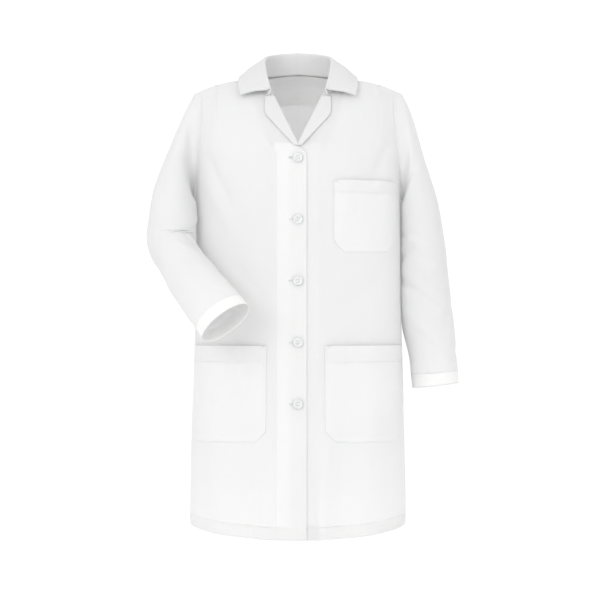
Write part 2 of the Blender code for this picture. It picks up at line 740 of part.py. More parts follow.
def make_coat():
    clear_scene()
    white = material("white_poplin", WHITE_CLOTH, 0.85)
    pearl = material("pearl_button", PEARL_PLASTIC, 0.35)
    thread = material("white_thread", WHITE_THREAD, 0.9)

    left_front = make_front(1, "left_front", white)
    right_front = make_front(-1, "right_front", white)
    make_facing(1, "left_front_facing", white)
    right_facing = make_facing(-1, "right_front_facing", white)
    left_back = make_back(1, "left_back", white)
    right_back = make_back(-1, "right_back", white)
    for side, pieces in ((1, (left_front, left_back)), (-1, (right_front, right_back))):
        cutter = armhole_cutter(side)
        for piece in pieces:
            cut(piece, cutter)
    make_neck_facing("back_neck_facing", white)
    make_vent_underlay("back_vent_underlay", white)
    make_lapel(1, "left_lapel", white)
    make_lapel(-1, "right_lapel", white)
    make_collar(white)

    make_pocket("chest_pocket", 1, 0.0706, 0.132, -0.2155, 0.141, 0.012, white)
    make_pocket("left_pocket", 1, 0.0530, 0.176, -0.5370, 0.194, 0.014, white)
    make_pocket("right_pocket", -1, 0.0620, 0.170, -0.5370, 0.194, 0.014, white)
    make_sleeves(white)
    make_buttons((right_front, right_facing), pearl, thread)


make_coat()
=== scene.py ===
"""The looks of a women's white lab coat, buttoned, as it hangs on a hidden form.

Metres, in the CAD's frame: +Z up, -Y the coat's front, +X the wearer's left, the origin in the middle of the neck.
The body is one surface, the torso, on which a place is a lap (0 centre front, 1 the left side seam, 2 centre back,
negative on the wearer's right) and a rise (0 the hem, 1 the shoulder seam). Every piece of cloth on the body is laid
on that surface at its own height, so folds pass through all layers together.
"""

import json
from math import atan2, cos, pi, radians, sin

import bmesh
import bpy
import numpy as np
from mathutils import Matrix, Vector


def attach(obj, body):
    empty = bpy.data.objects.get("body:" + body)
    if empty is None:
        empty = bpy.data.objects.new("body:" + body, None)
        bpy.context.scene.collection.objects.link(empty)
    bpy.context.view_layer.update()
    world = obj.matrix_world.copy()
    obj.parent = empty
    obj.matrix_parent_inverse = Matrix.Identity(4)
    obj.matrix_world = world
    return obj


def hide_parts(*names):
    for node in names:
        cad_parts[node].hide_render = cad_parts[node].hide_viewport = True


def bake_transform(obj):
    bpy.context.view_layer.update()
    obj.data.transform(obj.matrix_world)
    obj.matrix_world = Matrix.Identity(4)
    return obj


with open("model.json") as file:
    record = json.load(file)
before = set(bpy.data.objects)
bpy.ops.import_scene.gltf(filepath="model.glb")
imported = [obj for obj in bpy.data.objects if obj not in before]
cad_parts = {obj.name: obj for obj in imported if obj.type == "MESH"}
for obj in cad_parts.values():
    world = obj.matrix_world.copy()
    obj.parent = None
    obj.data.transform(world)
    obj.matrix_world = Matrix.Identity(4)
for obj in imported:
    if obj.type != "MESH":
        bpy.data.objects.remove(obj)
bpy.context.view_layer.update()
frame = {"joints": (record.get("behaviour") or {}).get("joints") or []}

# --- The CAD's driving dimensions --------------------------------------------------------------------------------
HEM_Z = -0.901
FRONT_HEM_DIP = 0.020
CHEST_HALF_WIDTH = 0.2085
HEM_HALF_WIDTH = 0.219
FRONT_DEPTH = 0.116
BACK_DEPTH = 0.104
HEM_EXTRA_DEPTH = 0.013
BUST_FULLNESS = 0.011
SECTION_SQUARENESS = 3.0
FRONT_ROUNDING = 0.20
BACK_ROUNDING = 0.13
NECK_HALF_WIDTH = 0.082
SHOULDER_END_X = 0.205
SHOULDER_DROP = 0.026
SHOULDER_CURVE = 2.2
BACK_NECK_RIDGE = 0.045
BACK_NECK_SEAM_Z = 0.018
BUTTON_STAND = 0.017
FACING_WIDTH = 0.058
V_POINT_Z = -0.143
STAND_TOP_Z = -0.165
BUTTON_COUNT = 5
TOP_BUTTON_Z = -0.171
BUTTON_SPACING = 0.121
BUTTON_RADIUS = 0.0095
ARMHOLE_Z = -0.1365
ARMHOLE_HALF_HEIGHT = 0.1100
ARMHOLE_HALF_DEPTH = 0.0550
SHOULDER_POINT_ROUNDING = 0.006

# --- The cloth ---------------------------------------------------------------------------------------------------
PLY = 0.0007  # pitch of two layers that lie on each other
HEM_WIDTH = 0.026
STITCH_LENGTH = 0.0026
STITCH_GAP = 0.0007
STITCH_RADIUS = 0.00028
WEAVE_PITCH = 0.00045


# --- Curves ------------------------------------------------------------------------------------------------------
def smooth_step(value, low, high):
    t = np.clip((value - low) / (high - low), 0, 1)
    return t * t * (3 - 2 * t)


def bump(value, centre, width):
    """A bell of height 1 round centre."""
    return np.exp(-(((value - centre) / width) ** 2))


def through(points, count=None, at=None):
    """Points on a Catmull-Rom curve through the given ones, evenly over its spans or at the given places."""
    p = np.array(points, float)
    p = np.concatenate([2 * p[:1] - p[1:2], p, 2 * p[-1:] - p[-2:-1]])
    at = np.linspace(0, len(points) - 1, count) if at is None else np.asarray(at, float)
    i = np.clip(at.astype(int), 0, len(points) - 2)
    t = (at - i).reshape((-1,) + (1,) * (p.ndim - 1))
    a, b, c, d = p[i], p[i + 1], p[i + 2], p[i + 3]
    return 0.5 * (2 * b + (c - a) * t + (2 * a - 5 * b + 4 * c - d) * t**2 + (3 * b - a - 3 * c + d) * t**3)


def evenly(line, step):
    """Points a step apart along a polyline."""
    line = np.asarray(line, float)
    along = np.concatenate([[0], np.cumsum(np.linalg.norm(np.diff(line, axis=0), axis=1))])
    at = np.linspace(0, along[-1], max(2, int(round(along[-1] / step)) + 1))
    return np.stack([np.interp(at, along, line[:, k]) for k in range(line.shape[1])], 1)


# --- The torso surface -------------------------------------------------------------------------------------------
def section_table():
    """Equal steps of arc length along a quarter of the body's section: across and deep, as shares of its size."""
    angle = np.linspace(0, pi / 2, 2000)
    across = np.sin(angle) ** (2 / SECTION_SQUARENESS) * CHEST_HALF_WIDTH
    deep = np.cos(angle) ** (2 / SECTION_SQUARENESS) * FRONT_DEPTH
    length = np.concatenate([[0], np.cumsum(np.hypot(np.diff(across), np.diff(deep)))])
    return length / length[-1], across / CHEST_HALF_WIDTH, deep / FRONT_DEPTH, length[-1]


LAP, ACROSS, DEEP, QUARTER = section_table()


def ridge(x, back=False):
    """Height of the shoulder seam over x."""
    run = np.maximum(np.abs(x) - NECK_HALF_WIDTH, 0) / (SHOULDER_END_X - NECK_HALF_WIDTH)
    behind_neck = np.where(back, np.maximum(1 - (x / NECK_HALF_WIDTH) ** 2, 0) * BACK_NECK_RIDGE, 0)
    return behind_neck - SHOULDER_DROP * run**SHOULDER_CURVE


def half_width(rise):
    return CHEST_HALF_WIDTH + (HEM_HALF_WIDTH - CHEST_HALF_WIDTH) * smooth_step(1 - rise, 0.42, 1.0)


def rounded(drop, height):
    left = 1 - np.clip(drop / height, 0, 1)
    return np.sqrt(np.maximum(1 - left**2, 0))


def depth_at(x, z, deep, rise, back):
    """How far the surface stands off the middle plane."""
    size = np.where(back, BACK_DEPTH, FRONT_DEPTH) + HEM_EXTRA_DEPTH * (1 - rise) ** 2
    depth = size * deep * rounded(ridge(x, back) - z, np.where(back, BACK_ROUNDING, FRONT_ROUNDING))
    bust = bump(np.abs(x), 0.085, 0.055) * bump(z, -0.235, 0.08)
    return depth + np.where(back, 0, BUST_FULLNESS * bust * deep)


def smooth_torso(lap, rise):
    """The body's surface with no folds."""
    lap, rise = np.broadcast_arrays(np.asarray(lap, float), np.asarray(rise, float))
    back = np.abs(lap) > 1
    turn = np.where(back, 2 - np.abs(lap), np.abs(lap))
    across, deep = np.interp(turn, LAP, ACROSS), np.interp(turn, LAP, DEEP)
    x = np.sign(lap) * half_width(rise) * across
    hem = HEM_Z - np.where(back, 0, FRONT_HEM_DIP * (1 - across**2))
    z = hem + rise * (ridge(x, back) - hem)
    depth = depth_at(x, z, deep, rise, back)
    return np.stack([x, np.where(back, depth, -depth), z], -1)


def crumple(a, b):
    """Soft uneven ripples, about 1 high, from waves that don't repeat within the coat."""
    waves = ((31, 7, 0.3), (-17, 23, 1.9), (11, -29, 4.1), (43, 19, 2.6), (-53, 31, 5.2), (23, 61, 0.9))
    total = sum(np.sin(k * a + m * b + phase) / (1 + 0.012 * (k * k + m * m) ** 0.5) for k, m, phase in waves)
    return total / 3


# Long soft folds of the body: front or back, x at z -0.6, slant in x for each metre up, half width, height, and the z
# where the fold begins to run out at its top.
LONG_FOLDS = (
    (False, -0.060, 0.02, 0.020, 0.0042, -0.42),
    (False, -0.112, -0.05, 0.026, -0.0046, -0.36),
    (False, -0.165, -0.03, 0.022, 0.0040, -0.44),
    (False, 0.052, 0.00, 0.018, 0.0030, -0.46),
    (False, 0.096, 0.06, 0.024, -0.0042, -0.34),
    (False, 0.150, 0.05, 0.024, 0.0044, -0.40),
    (True, -0.150, -0.04, 0.028, 0.0052, -0.30),
    (True, -0.085, -0.02, 0.026, -0.0054, -0.26),
    (True, -0.030, 0.00, 0.020, 0.0034, -0.34),
    (True, 0.045, 0.01, 0.024, -0.0048, -0.30),
    (True, 0.105, 0.03, 0.028, 0.0056, -0.24),
    (True, 0.168, 0.05, 0.022, -0.0040, -0.32),
)
# Drag lines: front or back, one end (x, z), the other end (x, z), half width, height.
DRAG_LINES = (
    (False, (-0.188, -0.150), (-0.135, -0.260), 0.010, -0.0032),
    (False, (-0.190, -0.205), (-0.120, -0.330), 0.013, 0.0034),
    (False, (0.190, -0.125), (0.150, -0.205), 0.011, -0.0036),
    (False, (0.192, -0.190), (0.140, -0.245), 0.010, 0.0026),
    (False, (-0.150, -0.360), (-0.040, -0.470), 0.016, -0.0022),
    (False, (0.175, -0.390), (0.060, -0.500), 0.016, -0.0020),
    (True, (-0.190, -0.170), (-0.110, -0.300), 0.014, 0.0046),
    (True, (0.190, -0.165), (0.105, -0.310), 0.014, 0.0044),
    (True, (-0.170, -0.230), (-0.060, -0.390), 0.016, -0.0036),
    (True, (0.172, -0.235), (0.050, -0.400), 0.016, -0.0034),
    (True, (-0.060, -0.030), (0.060, -0.034), 0.013, -0.0022),
)
TUCK_X = 0.166
TUCK_BOTTOM_Z = -0.112


def near_line(x, z, start, end, width):
    """1 on a stroke from start to end, falling off to the sides and towards both ends."""
    start, end = np.array(start), np.array(end)
    run = end - start
    length = np.linalg.norm(run)
    along = ((x - start[0]) * run[0] + (z - start[1]) * run[1]) / length
    aside = ((z - start[1]) * run[0] - (x - start[0]) * run[1]) / length
    ends = smooth_step(along, -0.01, 0.3 * length) * (1 - smooth_step(along, 0.55 * length, 1.15 * length))
    return bump(aside, 0, width) * ends


def fold_height(x, z, back, lap):
    """How far the cloth stands off the smooth torso."""
    total = 0.0006 * crumple(x * 1.6 + 0.3 * back, z) * smooth_step(-z, 0.0, 0.1)
    total = total + 0.0010 * crumple(0.31 * x + 2 * back, 0.33 * z + 1.0)
    for behind, x0, slant, width, height, top in LONG_FOLDS:
        shape = bump(x, x0 + slant * (z + 0.6), width) * smooth_step(top - z, 0, 0.33)
        total = total + np.where(back == behind, height * shape, 0)
    for behind, start, end, width, height in DRAG_LINES:
        total = total + np.where(back == behind, height * near_line(x, z, start, end, width), 0)
    # The shoulder tuck: the cloth on its armhole side lies over the cloth on its neck side.
    aside = np.abs(x) - TUCK_X
    run_out = 1 - smooth_step(-z, -TUCK_BOTTOM_Z - 0.018, -TUCK_BOTTOM_Z + 0.035)
    lip = np.where(aside > -0.0004, 0.0026 * np.exp(-np.maximum(aside, 0) / 0.010), -0.0007 * np.exp(aside / 0.004))
    total = total + np.where(back, 0, lip * run_out)
    # Seams sink a little: the side seams and the centre back. At the shoulder seam the folds run out.
    side = np.abs(np.abs(lap) - 1) * QUARTER
    middle = np.abs(np.abs(lap) - 2) * QUARTER
    groove = np.exp(-side / 0.0018) + np.exp(-middle / 0.0018)
    return (total - 0.0008 * groove) * smooth_step(ridge(x, back) - z, 0, 0.004)


def numeric_normals(surface, lap, rise):
    """Outward normals of surface(lap, rise)."""
    step_lap, step_rise = 0.004, 0.0016
    inner = np.clip(rise, step_rise, 1 - 2.5 * step_rise)
    across = surface(lap + step_lap, inner) - surface(lap - step_lap, inner)
    up = surface(lap, inner + step_rise) - surface(lap, inner - step_rise)
    normal = np.cross(across, up)
    return normal / np.maximum(np.linalg.norm(normal, axis=-1, keepdims=True), 1e-12)


def folded_torso(lap, rise):
    lap, rise = np.broadcast_arrays(np.asarray(lap, float), np.asarray(rise, float))
    smooth = smooth_torso(lap, rise)
    height = fold_height(smooth[..., 0], smooth[..., 2], np.abs(lap) > 1, lap)
    return smooth + numeric_normals(smooth_torso, lap, rise) * height[..., None]


def torso(lap, rise, out=0.0):
    """Points at a height above the folded surface."""
    lap, rise, out = np.broadcast_arrays(*(np.asarray(v, float) for v in (lap, rise, out)))
    return folded_torso(lap, rise) + numeric_normals(folded_torso, lap, rise) * out[..., None]


def lap_of_x(x, rise):
    share = np.clip(np.abs(x) / half_width(rise), 0, 1)
    return np.sign(x) * np.interp(share, ACROSS, LAP)


def rise_of_front(z):
    """The rise of the front's middle at height z."""
    hem = HEM_Z - FRONT_HEM_DIP
    return (z - hem) / -hem


def rise_at(lap, z):
    """The rise of a place on the front at this lap and height."""
    across = np.interp(np.abs(lap), LAP, ACROSS)
    hem = HEM_Z - FRONT_HEM_DIP * (1 - across**2)
    return (z - hem) / (ridge(across * CHEST_HALF_WIDTH) - hem)


def at_front(x, z):
    """The lap and rise of a place on the front."""
    x, z = np.broadcast_arrays(np.asarray(x, float), np.asarray(z, float))
    lap = lap_of_x(x, rise_of_front(z))
    for _ in range(2):
        lap = lap_of_x(x, rise_at(lap, z))
    return lap, rise_at(lap, z)


# --- Meshes ------------------------------------------------------------------------------------------------------
def finish_mesh(name, points, faces, look, uvs=None, smooth=True):
    mesh = bpy.data.meshes.new(name)
    mesh.from_pydata(np.asarray(points, float).reshape(-1, 3).tolist(), [], faces)
    if uvs is not None:
        layer = mesh.uv_layers.new(name="cloth")
        corner = np.zeros(len(mesh.loops), np.int32)
        mesh.loops.foreach_get("vertex_index", corner)
        layer.data.foreach_set("uv", np.asarray(uvs, np.float32).reshape(-1, 2)[corner].ravel())
    if smooth:
        mesh.shade_smooth()
    item = bpy.data.objects.new(name, mesh)
    bpy.context.scene.collection.objects.link(item)
    mesh.materials.append(look)
    return item


def grid_faces(rows, columns, closed=False, keep=None):
    spans = columns if closed else columns - 1
    faces = []
    for r in range(rows - 1):
        for c in range(spans):
            n = (c + 1) % columns
            quad = (r * columns + c, r * columns + n, (r + 1) * columns + n, (r + 1) * columns + c)
            if keep is None or all(keep[i] for i in quad):
                faces.append(quad)
    return faces


def grid_uvs(grid):
    """Places in the cloth, in metres, from the lengths along the grid's middle lines."""
    rows, columns = grid.shape[:2]
    along = np.linalg.norm(np.diff(grid[:, columns // 2], axis=0), axis=1)
    across = np.linalg.norm(np.diff(grid[rows // 2], axis=0), axis=1)
    v = np.concatenate([[0], np.cumsum(along)])
    u = np.concatenate([[0], np.cumsum(across)])
    return np.stack(np.meshgrid(u, v), -1)


def cloth(name, grid, look, body="coat", closed=False, keep=None, thick=0.0):
    """A sheet of cloth from a grid of points."""
    rows, columns = grid.shape[:2]
    item = finish_mesh(name, grid, grid_faces(rows, columns, closed, keep), look, grid_uvs(grid))
    if thick:
        solidify = item.modifiers.new("thickness", "SOLIDIFY")
        solidify.thickness = thick
        solidify.offset = 0.0
    if body:
        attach(item, body)
    return item


# --- Materials ---------------------------------------------------------------------------------------------------
def give_looks(item, choice, *looks):
    """Gives each face the look that its first vertex has in a grid of choices, 0 being the one it already has."""
    for look in looks:
        item.data.materials.append(look)
    first = np.zeros(len(item.data.polygons), np.int32)
    item.data.polygons.foreach_get("loop_start", first)
    vertex = np.zeros(len(item.data.loops), np.int32)
    item.data.loops.foreach_get("vertex_index", vertex)
    item.data.polygons.foreach_set("material_index", choice.ravel()[vertex[first]].astype(np.int32))


def new_look(name):
    look = bpy.data.materials.new(name)
    look.use_nodes = True
    look.node_tree.nodes.clear()
    return look, look.node_tree.nodes, look.node_tree.links


def poplin(name, colour, through_light=0.22):
    """White poplin: a fine plain weave, matt, with a faint sheen and a little light coming through."""
    look, nodes, links = new_look(name)
    out = nodes.new("ShaderNodeOutputMaterial")
    uv = nodes.new("ShaderNodeUVMap")
    uv.uv_map = "cloth"
    weave = []
    for turn in (0.0, pi / 2):
        mapping = nodes.new("ShaderNodeMapping")
        mapping.inputs["Rotation"].default_value = (0, 0, turn)
        wave = nodes.new("ShaderNodeTexWave")
        wave.wave_profile = "SIN"
        wave.inputs["Scale"].default_value = 1 / WEAVE_PITCH / 20 * 2
        wave.inputs["Distortion"].default_value = 0.6
        wave.inputs["Detail"].default_value = 1.0
        wave.inputs["Detail Scale"].default_value = 2.0
        links.new(uv.outputs["UV"], mapping.inputs["Vector"])
        links.new(mapping.outputs["Vector"], wave.inputs["Vector"])
        weave.append(wave)
    threads = nodes.new("ShaderNodeMath")
    threads.operation = "MULTIPLY"
    links.new(weave[0].outputs["Fac"], threads.inputs[0])
    links.new(weave[1].outputs["Fac"], threads.inputs[1])
    place = nodes.new("ShaderNodeTexCoord")
    slubs = nodes.new("ShaderNodeTexNoise")
    slubs.inputs["Scale"].default_value = 210
    slubs.inputs["Detail"].default_value = 3
    links.new(place.outputs["Object"], slubs.inputs["Vector"])
    soft = nodes.new("ShaderNodeTexNoise")
    soft.inputs["Scale"].default_value = 16
    soft.inputs["Detail"].default_value = 4
    links.new(place.outputs["Object"], soft.inputs["Vector"])
    tint = nodes.new("ShaderNodeMix")
    tint.data_type = "RGBA"
    tint.inputs["A"].default_value = (*(0.970 * share for share in colour), 1)
    tint.inputs["B"].default_value = (*colour, 1)
    links.new(soft.outputs["Fac"], tint.inputs["Factor"])
    shade = nodes.new("ShaderNodeMix")
    shade.data_type = "RGBA"
    shade.inputs["B"].default_value = (*(0.937 * share for share in colour), 1)
    links.new(threads.outputs["Value"], shade.inputs["Factor"])
    links.new(tint.outputs["Result"], shade.inputs["A"])
    coarse = nodes.new("ShaderNodeBump")
    coarse.inputs["Strength"].default_value = 0.22
    coarse.inputs["Distance"].default_value = 0.0006
    links.new(soft.outputs["Fac"], coarse.inputs["Height"])
    slub_bump = nodes.new("ShaderNodeBump")
    slub_bump.inputs["Strength"].default_value = 0.25
    slub_bump.inputs["Distance"].default_value = 0.00012
    links.new(slubs.outputs["Fac"], slub_bump.inputs["Height"])
    links.new(coarse.outputs["Normal"], slub_bump.inputs["Normal"])
    fine = nodes.new("ShaderNodeBump")
    fine.inputs["Strength"].default_value = 0.35
    fine.inputs["Distance"].default_value = 0.00008
    links.new(threads.outputs["Value"], fine.inputs["Height"])
    links.new(slub_bump.outputs["Normal"], fine.inputs["Normal"])
    cloth_shader = nodes.new("ShaderNodeBsdfPrincipled")
    cloth_shader.inputs["Roughness"].default_value = 0.82
    cloth_shader.inputs["Specular IOR Level"].default_value = 0.25
    cloth_shader.inputs["Sheen Weight"].default_value = 0.12
    cloth_shader.inputs["Sheen Roughness"].default_value = 0.4
    links.new(shade.outputs["Result"], cloth_shader.inputs["Base Color"])
    links.new(fine.outputs["Normal"], cloth_shader.inputs["Normal"])
    glow = nodes.new("ShaderNodeBsdfTranslucent")
    links.new(shade.outputs["Result"], glow.inputs["Color"])
    links.new(fine.outputs["Normal"], glow.inputs["Normal"])
    mix = nodes.new("ShaderNodeMixShader")
    mix.inputs[0].default_value = through_light
    links.new(cloth_shader.outputs["BSDF"], mix.inputs[1])
    links.new(glow.outputs["BSDF"], mix.inputs[2])
    links.new(mix.outputs["Shader"], out.inputs["Surface"])
    return look


def thread_look():
    """Cotton-wrapped polyester thread with its twist."""
    look, nodes, links = new_look("sewing_thread")
    out = nodes.new("ShaderNodeOutputMaterial")
    place = nodes.new("ShaderNodeTexCoord")
    twist = nodes.new("ShaderNodeTexWave")
    twist.bands_direction = "DIAGONAL"
    twist.inputs["Scale"].default_value = 900
    twist.inputs["Distortion"].default_value = 1.5
    links.new(place.outputs["Object"], twist.inputs["Vector"])
    tint = nodes.new("ShaderNodeMix")
    tint.data_type = "RGBA"
    tint.inputs["A"].default_value = (0.84, 0.84, 0.835, 1)
    tint.inputs["B"].default_value = (0.92, 0.92, 0.915, 1)
    links.new(twist.outputs["Fac"], tint.inputs["Factor"])
    rough = nodes.new("ShaderNodeBump")
    rough.inputs["Strength"].default_value = 0.3
    rough.inputs["Distance"].default_value = 0.00005
    links.new(twist.outputs["Fac"], rough.inputs["Height"])
    shader = nodes.new("ShaderNodeBsdfPrincipled")
    shader.inputs["Roughness"].default_value = 0.55
    shader.inputs["Sheen Weight"].default_value = 0.3
    links.new(tint.outputs["Result"], shader.inputs["Base Color"])
    links.new(rough.outputs["Normal"], shader.inputs["Normal"])
    links.new(shader.outputs["BSDF"], out.inputs["Surface"])
    return look


def button_look():
    """Translucent pearly plastic with soft clouds in it and fine scratches."""
    look, nodes, links = new_look("pearl_plastic")
    out = nodes.new("ShaderNodeOutputMaterial")
    place = nodes.new("ShaderNodeTexCoord")
    clouds = nodes.new("ShaderNodeTexNoise")
    clouds.inputs["Scale"].default_value = 260
    clouds.inputs["Detail"].default_value = 5
    clouds.inputs["Distortion"].default_value = 1.2
    links.new(place.outputs["Object"], clouds.inputs["Vector"])
    tint = nodes.new("ShaderNodeMix")
    tint.data_type = "RGBA"
    tint.inputs["A"].default_value = (0.50, 0.515, 0.525, 1)
    tint.inputs["B"].default_value = (0.78, 0.79, 0.79, 1)
    links.new(clouds.outputs["Fac"], tint.inputs["Factor"])
    scratches = nodes.new("ShaderNodeTexNoise")
    scratches.inputs["Scale"].default_value = 1800
    links.new(place.outputs["Object"], scratches.inputs["Vector"])
    spread = nodes.new("ShaderNodeMapRange")
    spread.inputs["To Min"].default_value = 0.16
    spread.inputs["To Max"].default_value = 0.34
    links.new(scratches.outputs["Fac"], spread.inputs["Value"])
    fine = nodes.new("ShaderNodeBump")
    fine.inputs["Strength"].default_value = 0.08
    fine.inputs["Distance"].default_value = 0.00005
    links.new(scratches.outputs["Fac"], fine.inputs["Height"])
    shader = nodes.new("ShaderNodeBsdfPrincipled")
    shader.inputs["Subsurface Weight"].default_value = 0.35
    shader.inputs["Subsurface Radius"].default_value = (0.002, 0.002, 0.002)
    shader.inputs["Subsurface Scale"].default_value = 1.0
    shader.inputs["IOR"].default_value = 1.54
    shader.inputs["Coat Weight"].default_value = 0.25
    shader.inputs["Coat Roughness"].default_value = 0.1
    links.new(tint.outputs["Result"], shader.inputs["Base Color"])
    links.new(spread.outputs["Result"], shader.inputs["Roughness"])
    links.new(fine.outputs["Normal"], shader.inputs["Normal"])
    links.new(shader.outputs["BSDF"], out.inputs["Surface"])
    return look


BODY_CLOTH = poplin("poplin_single", (0.820, 0.823, 0.820), 0.34)
# Painted light: lighter copies of the poplin for the fronts' strips where the facing lies behind, standing in for the
# light that this second layer sends back.
PLACKET_PAINTED_LIGHT_CLOTH = poplin("poplin_placket_painted_light", (0.855, 0.857, 0.853), 0.24)
FACED_PAINTED_LIGHT_CLOTH = poplin("poplin_faced_painted_light", (0.832, 0.835, 0.832), 0.28)
# Painted light: a lighter copy of the poplin for the turned-up hem, standing in for the light that its second layer
# sends back.
HEM_PAINTED_LIGHT_CLOTH = poplin("poplin_hem_painted_light", (0.842, 0.844, 0.840), 0.30)
# Painted light: the lightest copy of the poplin, for the sleeves' turned-in hems and the neck facing, brightening these
# insides where shade falls.
CUFF_AND_NECK_PAINTED_LIGHT_CLOTH = poplin("poplin_cuff_and_neck_painted_light", (0.885, 0.887, 0.882), 0.24)
# Painted shade: a darker copy of the poplin for the collar and the lapels, toning down their tops, which face the
# light.
DOUBLE_PAINTED_SHADE_CLOTH = poplin("poplin_double_painted_shade", (0.785, 0.788, 0.785), 0.22)
POCKET_CLOTH = poplin("poplin_pocket", (0.820, 0.823, 0.820), 0.22)
THREAD = thread_look()
PEARL = button_look()


# --- Stitches ----------------------------------------------------------------------------------------------------
def stitch_mesh(name, runs, body):
    """Lockstitches along runs of (points, normals): short threads that dip into the cloth at both ends."""
    sides = 5
    stations = ((0.0, 0.35, -0.00022), (0.12, 0.85, 0.00003), (0.5, 1.0, 0.00014), (0.88, 0.85, 0.00003),
                (1.0, 0.35, -0.00022))
    points, faces = [], []
    for line, normals in runs:
        both = evenly(np.concatenate([line, normals], 1), STITCH_LENGTH + STITCH_GAP)
        places, up = both[:, :3], both[:, 3:]
        for a, b, n in zip(places[:-1], places[1:], up[:-1]):
            run = b - a
            length = np.linalg.norm(run)
            run /= max(length, 1e-9)
            n = n / max(np.linalg.norm(n), 1e-9)
            side = np.cross(run, n)
            base = len(points)
            for share, size, lift in stations:
                middle = a + run * length * (0.11 + 0.78 * share) + n * lift
                for k in range(sides):
                    turn = 2 * pi * k / sides
                    points.append(middle + STITCH_RADIUS * size * (side * cos(turn) + n * sin(turn)))
            for ring in range(len(stations) - 1):
                for k in range(sides):
                    m = (k + 1) % sides
                    low, high = base + ring * sides, base + (ring + 1) * sides
                    faces.append((low + k, low + m, high + m, high + k))
            faces.append(tuple(base + k for k in reversed(range(sides))))
            faces.append(tuple(base + (len(stations) - 1) * sides + k for k in range(sides)))
    item = finish_mesh(name, points, faces, THREAD)
    if body:
        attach(item, body)
    return item


def torso_run(laps, rises, out):
    """A line on the torso, with its normals."""
    laps, rises = np.broadcast_arrays(np.asarray(laps, float), np.asarray(rises, float))
    return torso(laps, rises, out), numeric_normals(folded_torso, laps, rises)


def front_run(points, out):
    """A line on the front through (x, z) corners."""
    line = evenly(np.array(points, float), 0.004)
    lap, rise = at_front(line[:, 0], line[:, 1])
    return torso_run(lap, rise, out)


# --- The fronts --------------------------------------------------------------------------------------------------
def roll_line(z):
    """Half the width of the V opening at height z."""
    return 0.069 * np.clip(1 - z / V_POINT_Z, 0, 1) + 0.013 * smooth_step(z, -0.035, 0)


def front_edge(z):
    stand = BUTTON_STAND * (1 - smooth_step(z, STAND_TOP_Z, V_POINT_Z))
    return stand - roll_line(z)


FRONT_ROWS = np.concatenate([
    np.linspace(HEM_Z - FRONT_HEM_DIP, -0.30, 110, endpoint=False),
    np.linspace(-0.30, -0.02, 62, endpoint=False),
    np.linspace(-0.02, -0.0006, 10, endpoint=False),
    [-0.0006, -0.00005, 0],
])
TUCK_LAP = float(np.interp(TUCK_X / CHEST_HALF_WIDTH, ACROSS, LAP))


def spaced(low, high, count, tight_ends=False):
    """Shares from low to high."""
    t = np.linspace(0, 1, count)
    if tight_ends:
        t = t - 0.13 * np.sin(2 * pi * t)
    return low + (high - low) * t


def layer_below(side, x, z):
    """How deep a front lies: the left one goes in behind the right one's two layers."""
    if side < 0:
        return 0 * x
    return -2.6 * PLY * (1 - smooth_step(x, 0.020, 0.046)) * (1 - smooth_step(z, V_POINT_Z, -0.09))


def make_front(side, name, node, facing_node):
    """A front with its facing folded inside along its edge and its hem turned up."""
    z = FRONT_ROWS
    rise = rise_of_front(z)[:, None]
    edge = front_edge(z)[:, None]
    facing = FACING_WIDTH - 0.020 * smooth_step(z, V_POINT_Z, 0)[:, None]
    strip = edge - facing * spaced(0, 1, 15)[None, :]
    strip_laps = lap_of_x(-side * strip, rise)
    last = strip_laps[:, -1:]
    to_tuck = last + (side * (TUCK_LAP - 0.0009) - last) * spaced(0, 1, 26)[None, 1:]
    step = np.array([0.0, 0.0009, 0.0018, 0.0045, 0.009, 0.016]) + TUCK_LAP
    past_tuck = side * np.concatenate([step, spaced(TUCK_LAP + 0.024, 1 - 0.02, 30), [0.988, 0.993, 0.9965, 0.999, 1]])
    laps = np.concatenate([strip_laps, to_tuck, np.broadcast_to(past_tuck, (len(z), len(past_tuck)))], 1)
    out = np.zeros_like(laps)
    # The edge rolls over, and the facing comes back under it.
    roll = lap_of_x(-side * (edge + 0.0004), rise)
    back = strip_laps[:, ::-1]
    laps = np.concatenate([back, roll, laps], 1)
    out = np.concatenate([np.full_like(back, -PLY), np.full_like(roll, -PLY / 2), out], 1)
    rises = np.broadcast_to(rise, laps.shape)
    grid_x = smooth_torso(laps, rises)[..., 0] * side
    out = out + layer_below(side, grid_x, smooth_torso(laps, rises)[..., 2])
    # The hem: rows that turn under and run up inside.
    turned = np.linspace(HEM_WIDTH, 0.0006, 6) / -HEM_Z
    laps = np.concatenate([laps[[0] * 6], laps[:1], laps])
    rises = np.concatenate([np.broadcast_to(turned[:, None], (6, laps.shape[1])), np.full((1, laps.shape[1]), -0.0005),
                            rises])
    out = np.concatenate([out[[0] * 6] - PLY, out[:1] - PLY / 2, out])
    rises[7, :] = 0.0004
    grid = torso(laps, rises, out)
    keep = cut_armhole(grid, side, laps)
    item = cloth(name, grid, BODY_CLOTH, keep=keep.ravel())
    column = np.arange(grid.shape[1])[None, :]
    # Where the facing lies behind the front: these strips get the painted-light copies of the poplin.
    faced = np.abs(grid[..., 0]) < FACING_WIDTH - BUTTON_STAND + 0.001
    strip = faced & (column < 2 * strip_laps.shape[1]) & (grid[..., 2] < V_POINT_Z)
    # The turned-up hem gets the painted-light copy of the poplin.
    hem = rises < HEM_WIDTH / -HEM_Z
    give_looks(item, np.where(strip, 1, np.where(hem, 2, 0)), PLACKET_PAINTED_LIGHT_CLOTH if side < 0 else FACED_PAINTED_LIGHT_CLOTH, HEM_PAINTED_LIGHT_CLOTH)
    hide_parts(node, facing_node)
    return item


def armhole_place(y, z):
    """1 on the armhole's edge, less inside it."""
    return np.hypot((z - ARMHOLE_Z) / ARMHOLE_HALF_HEIGHT, y / ARMHOLE_HALF_DEPTH)


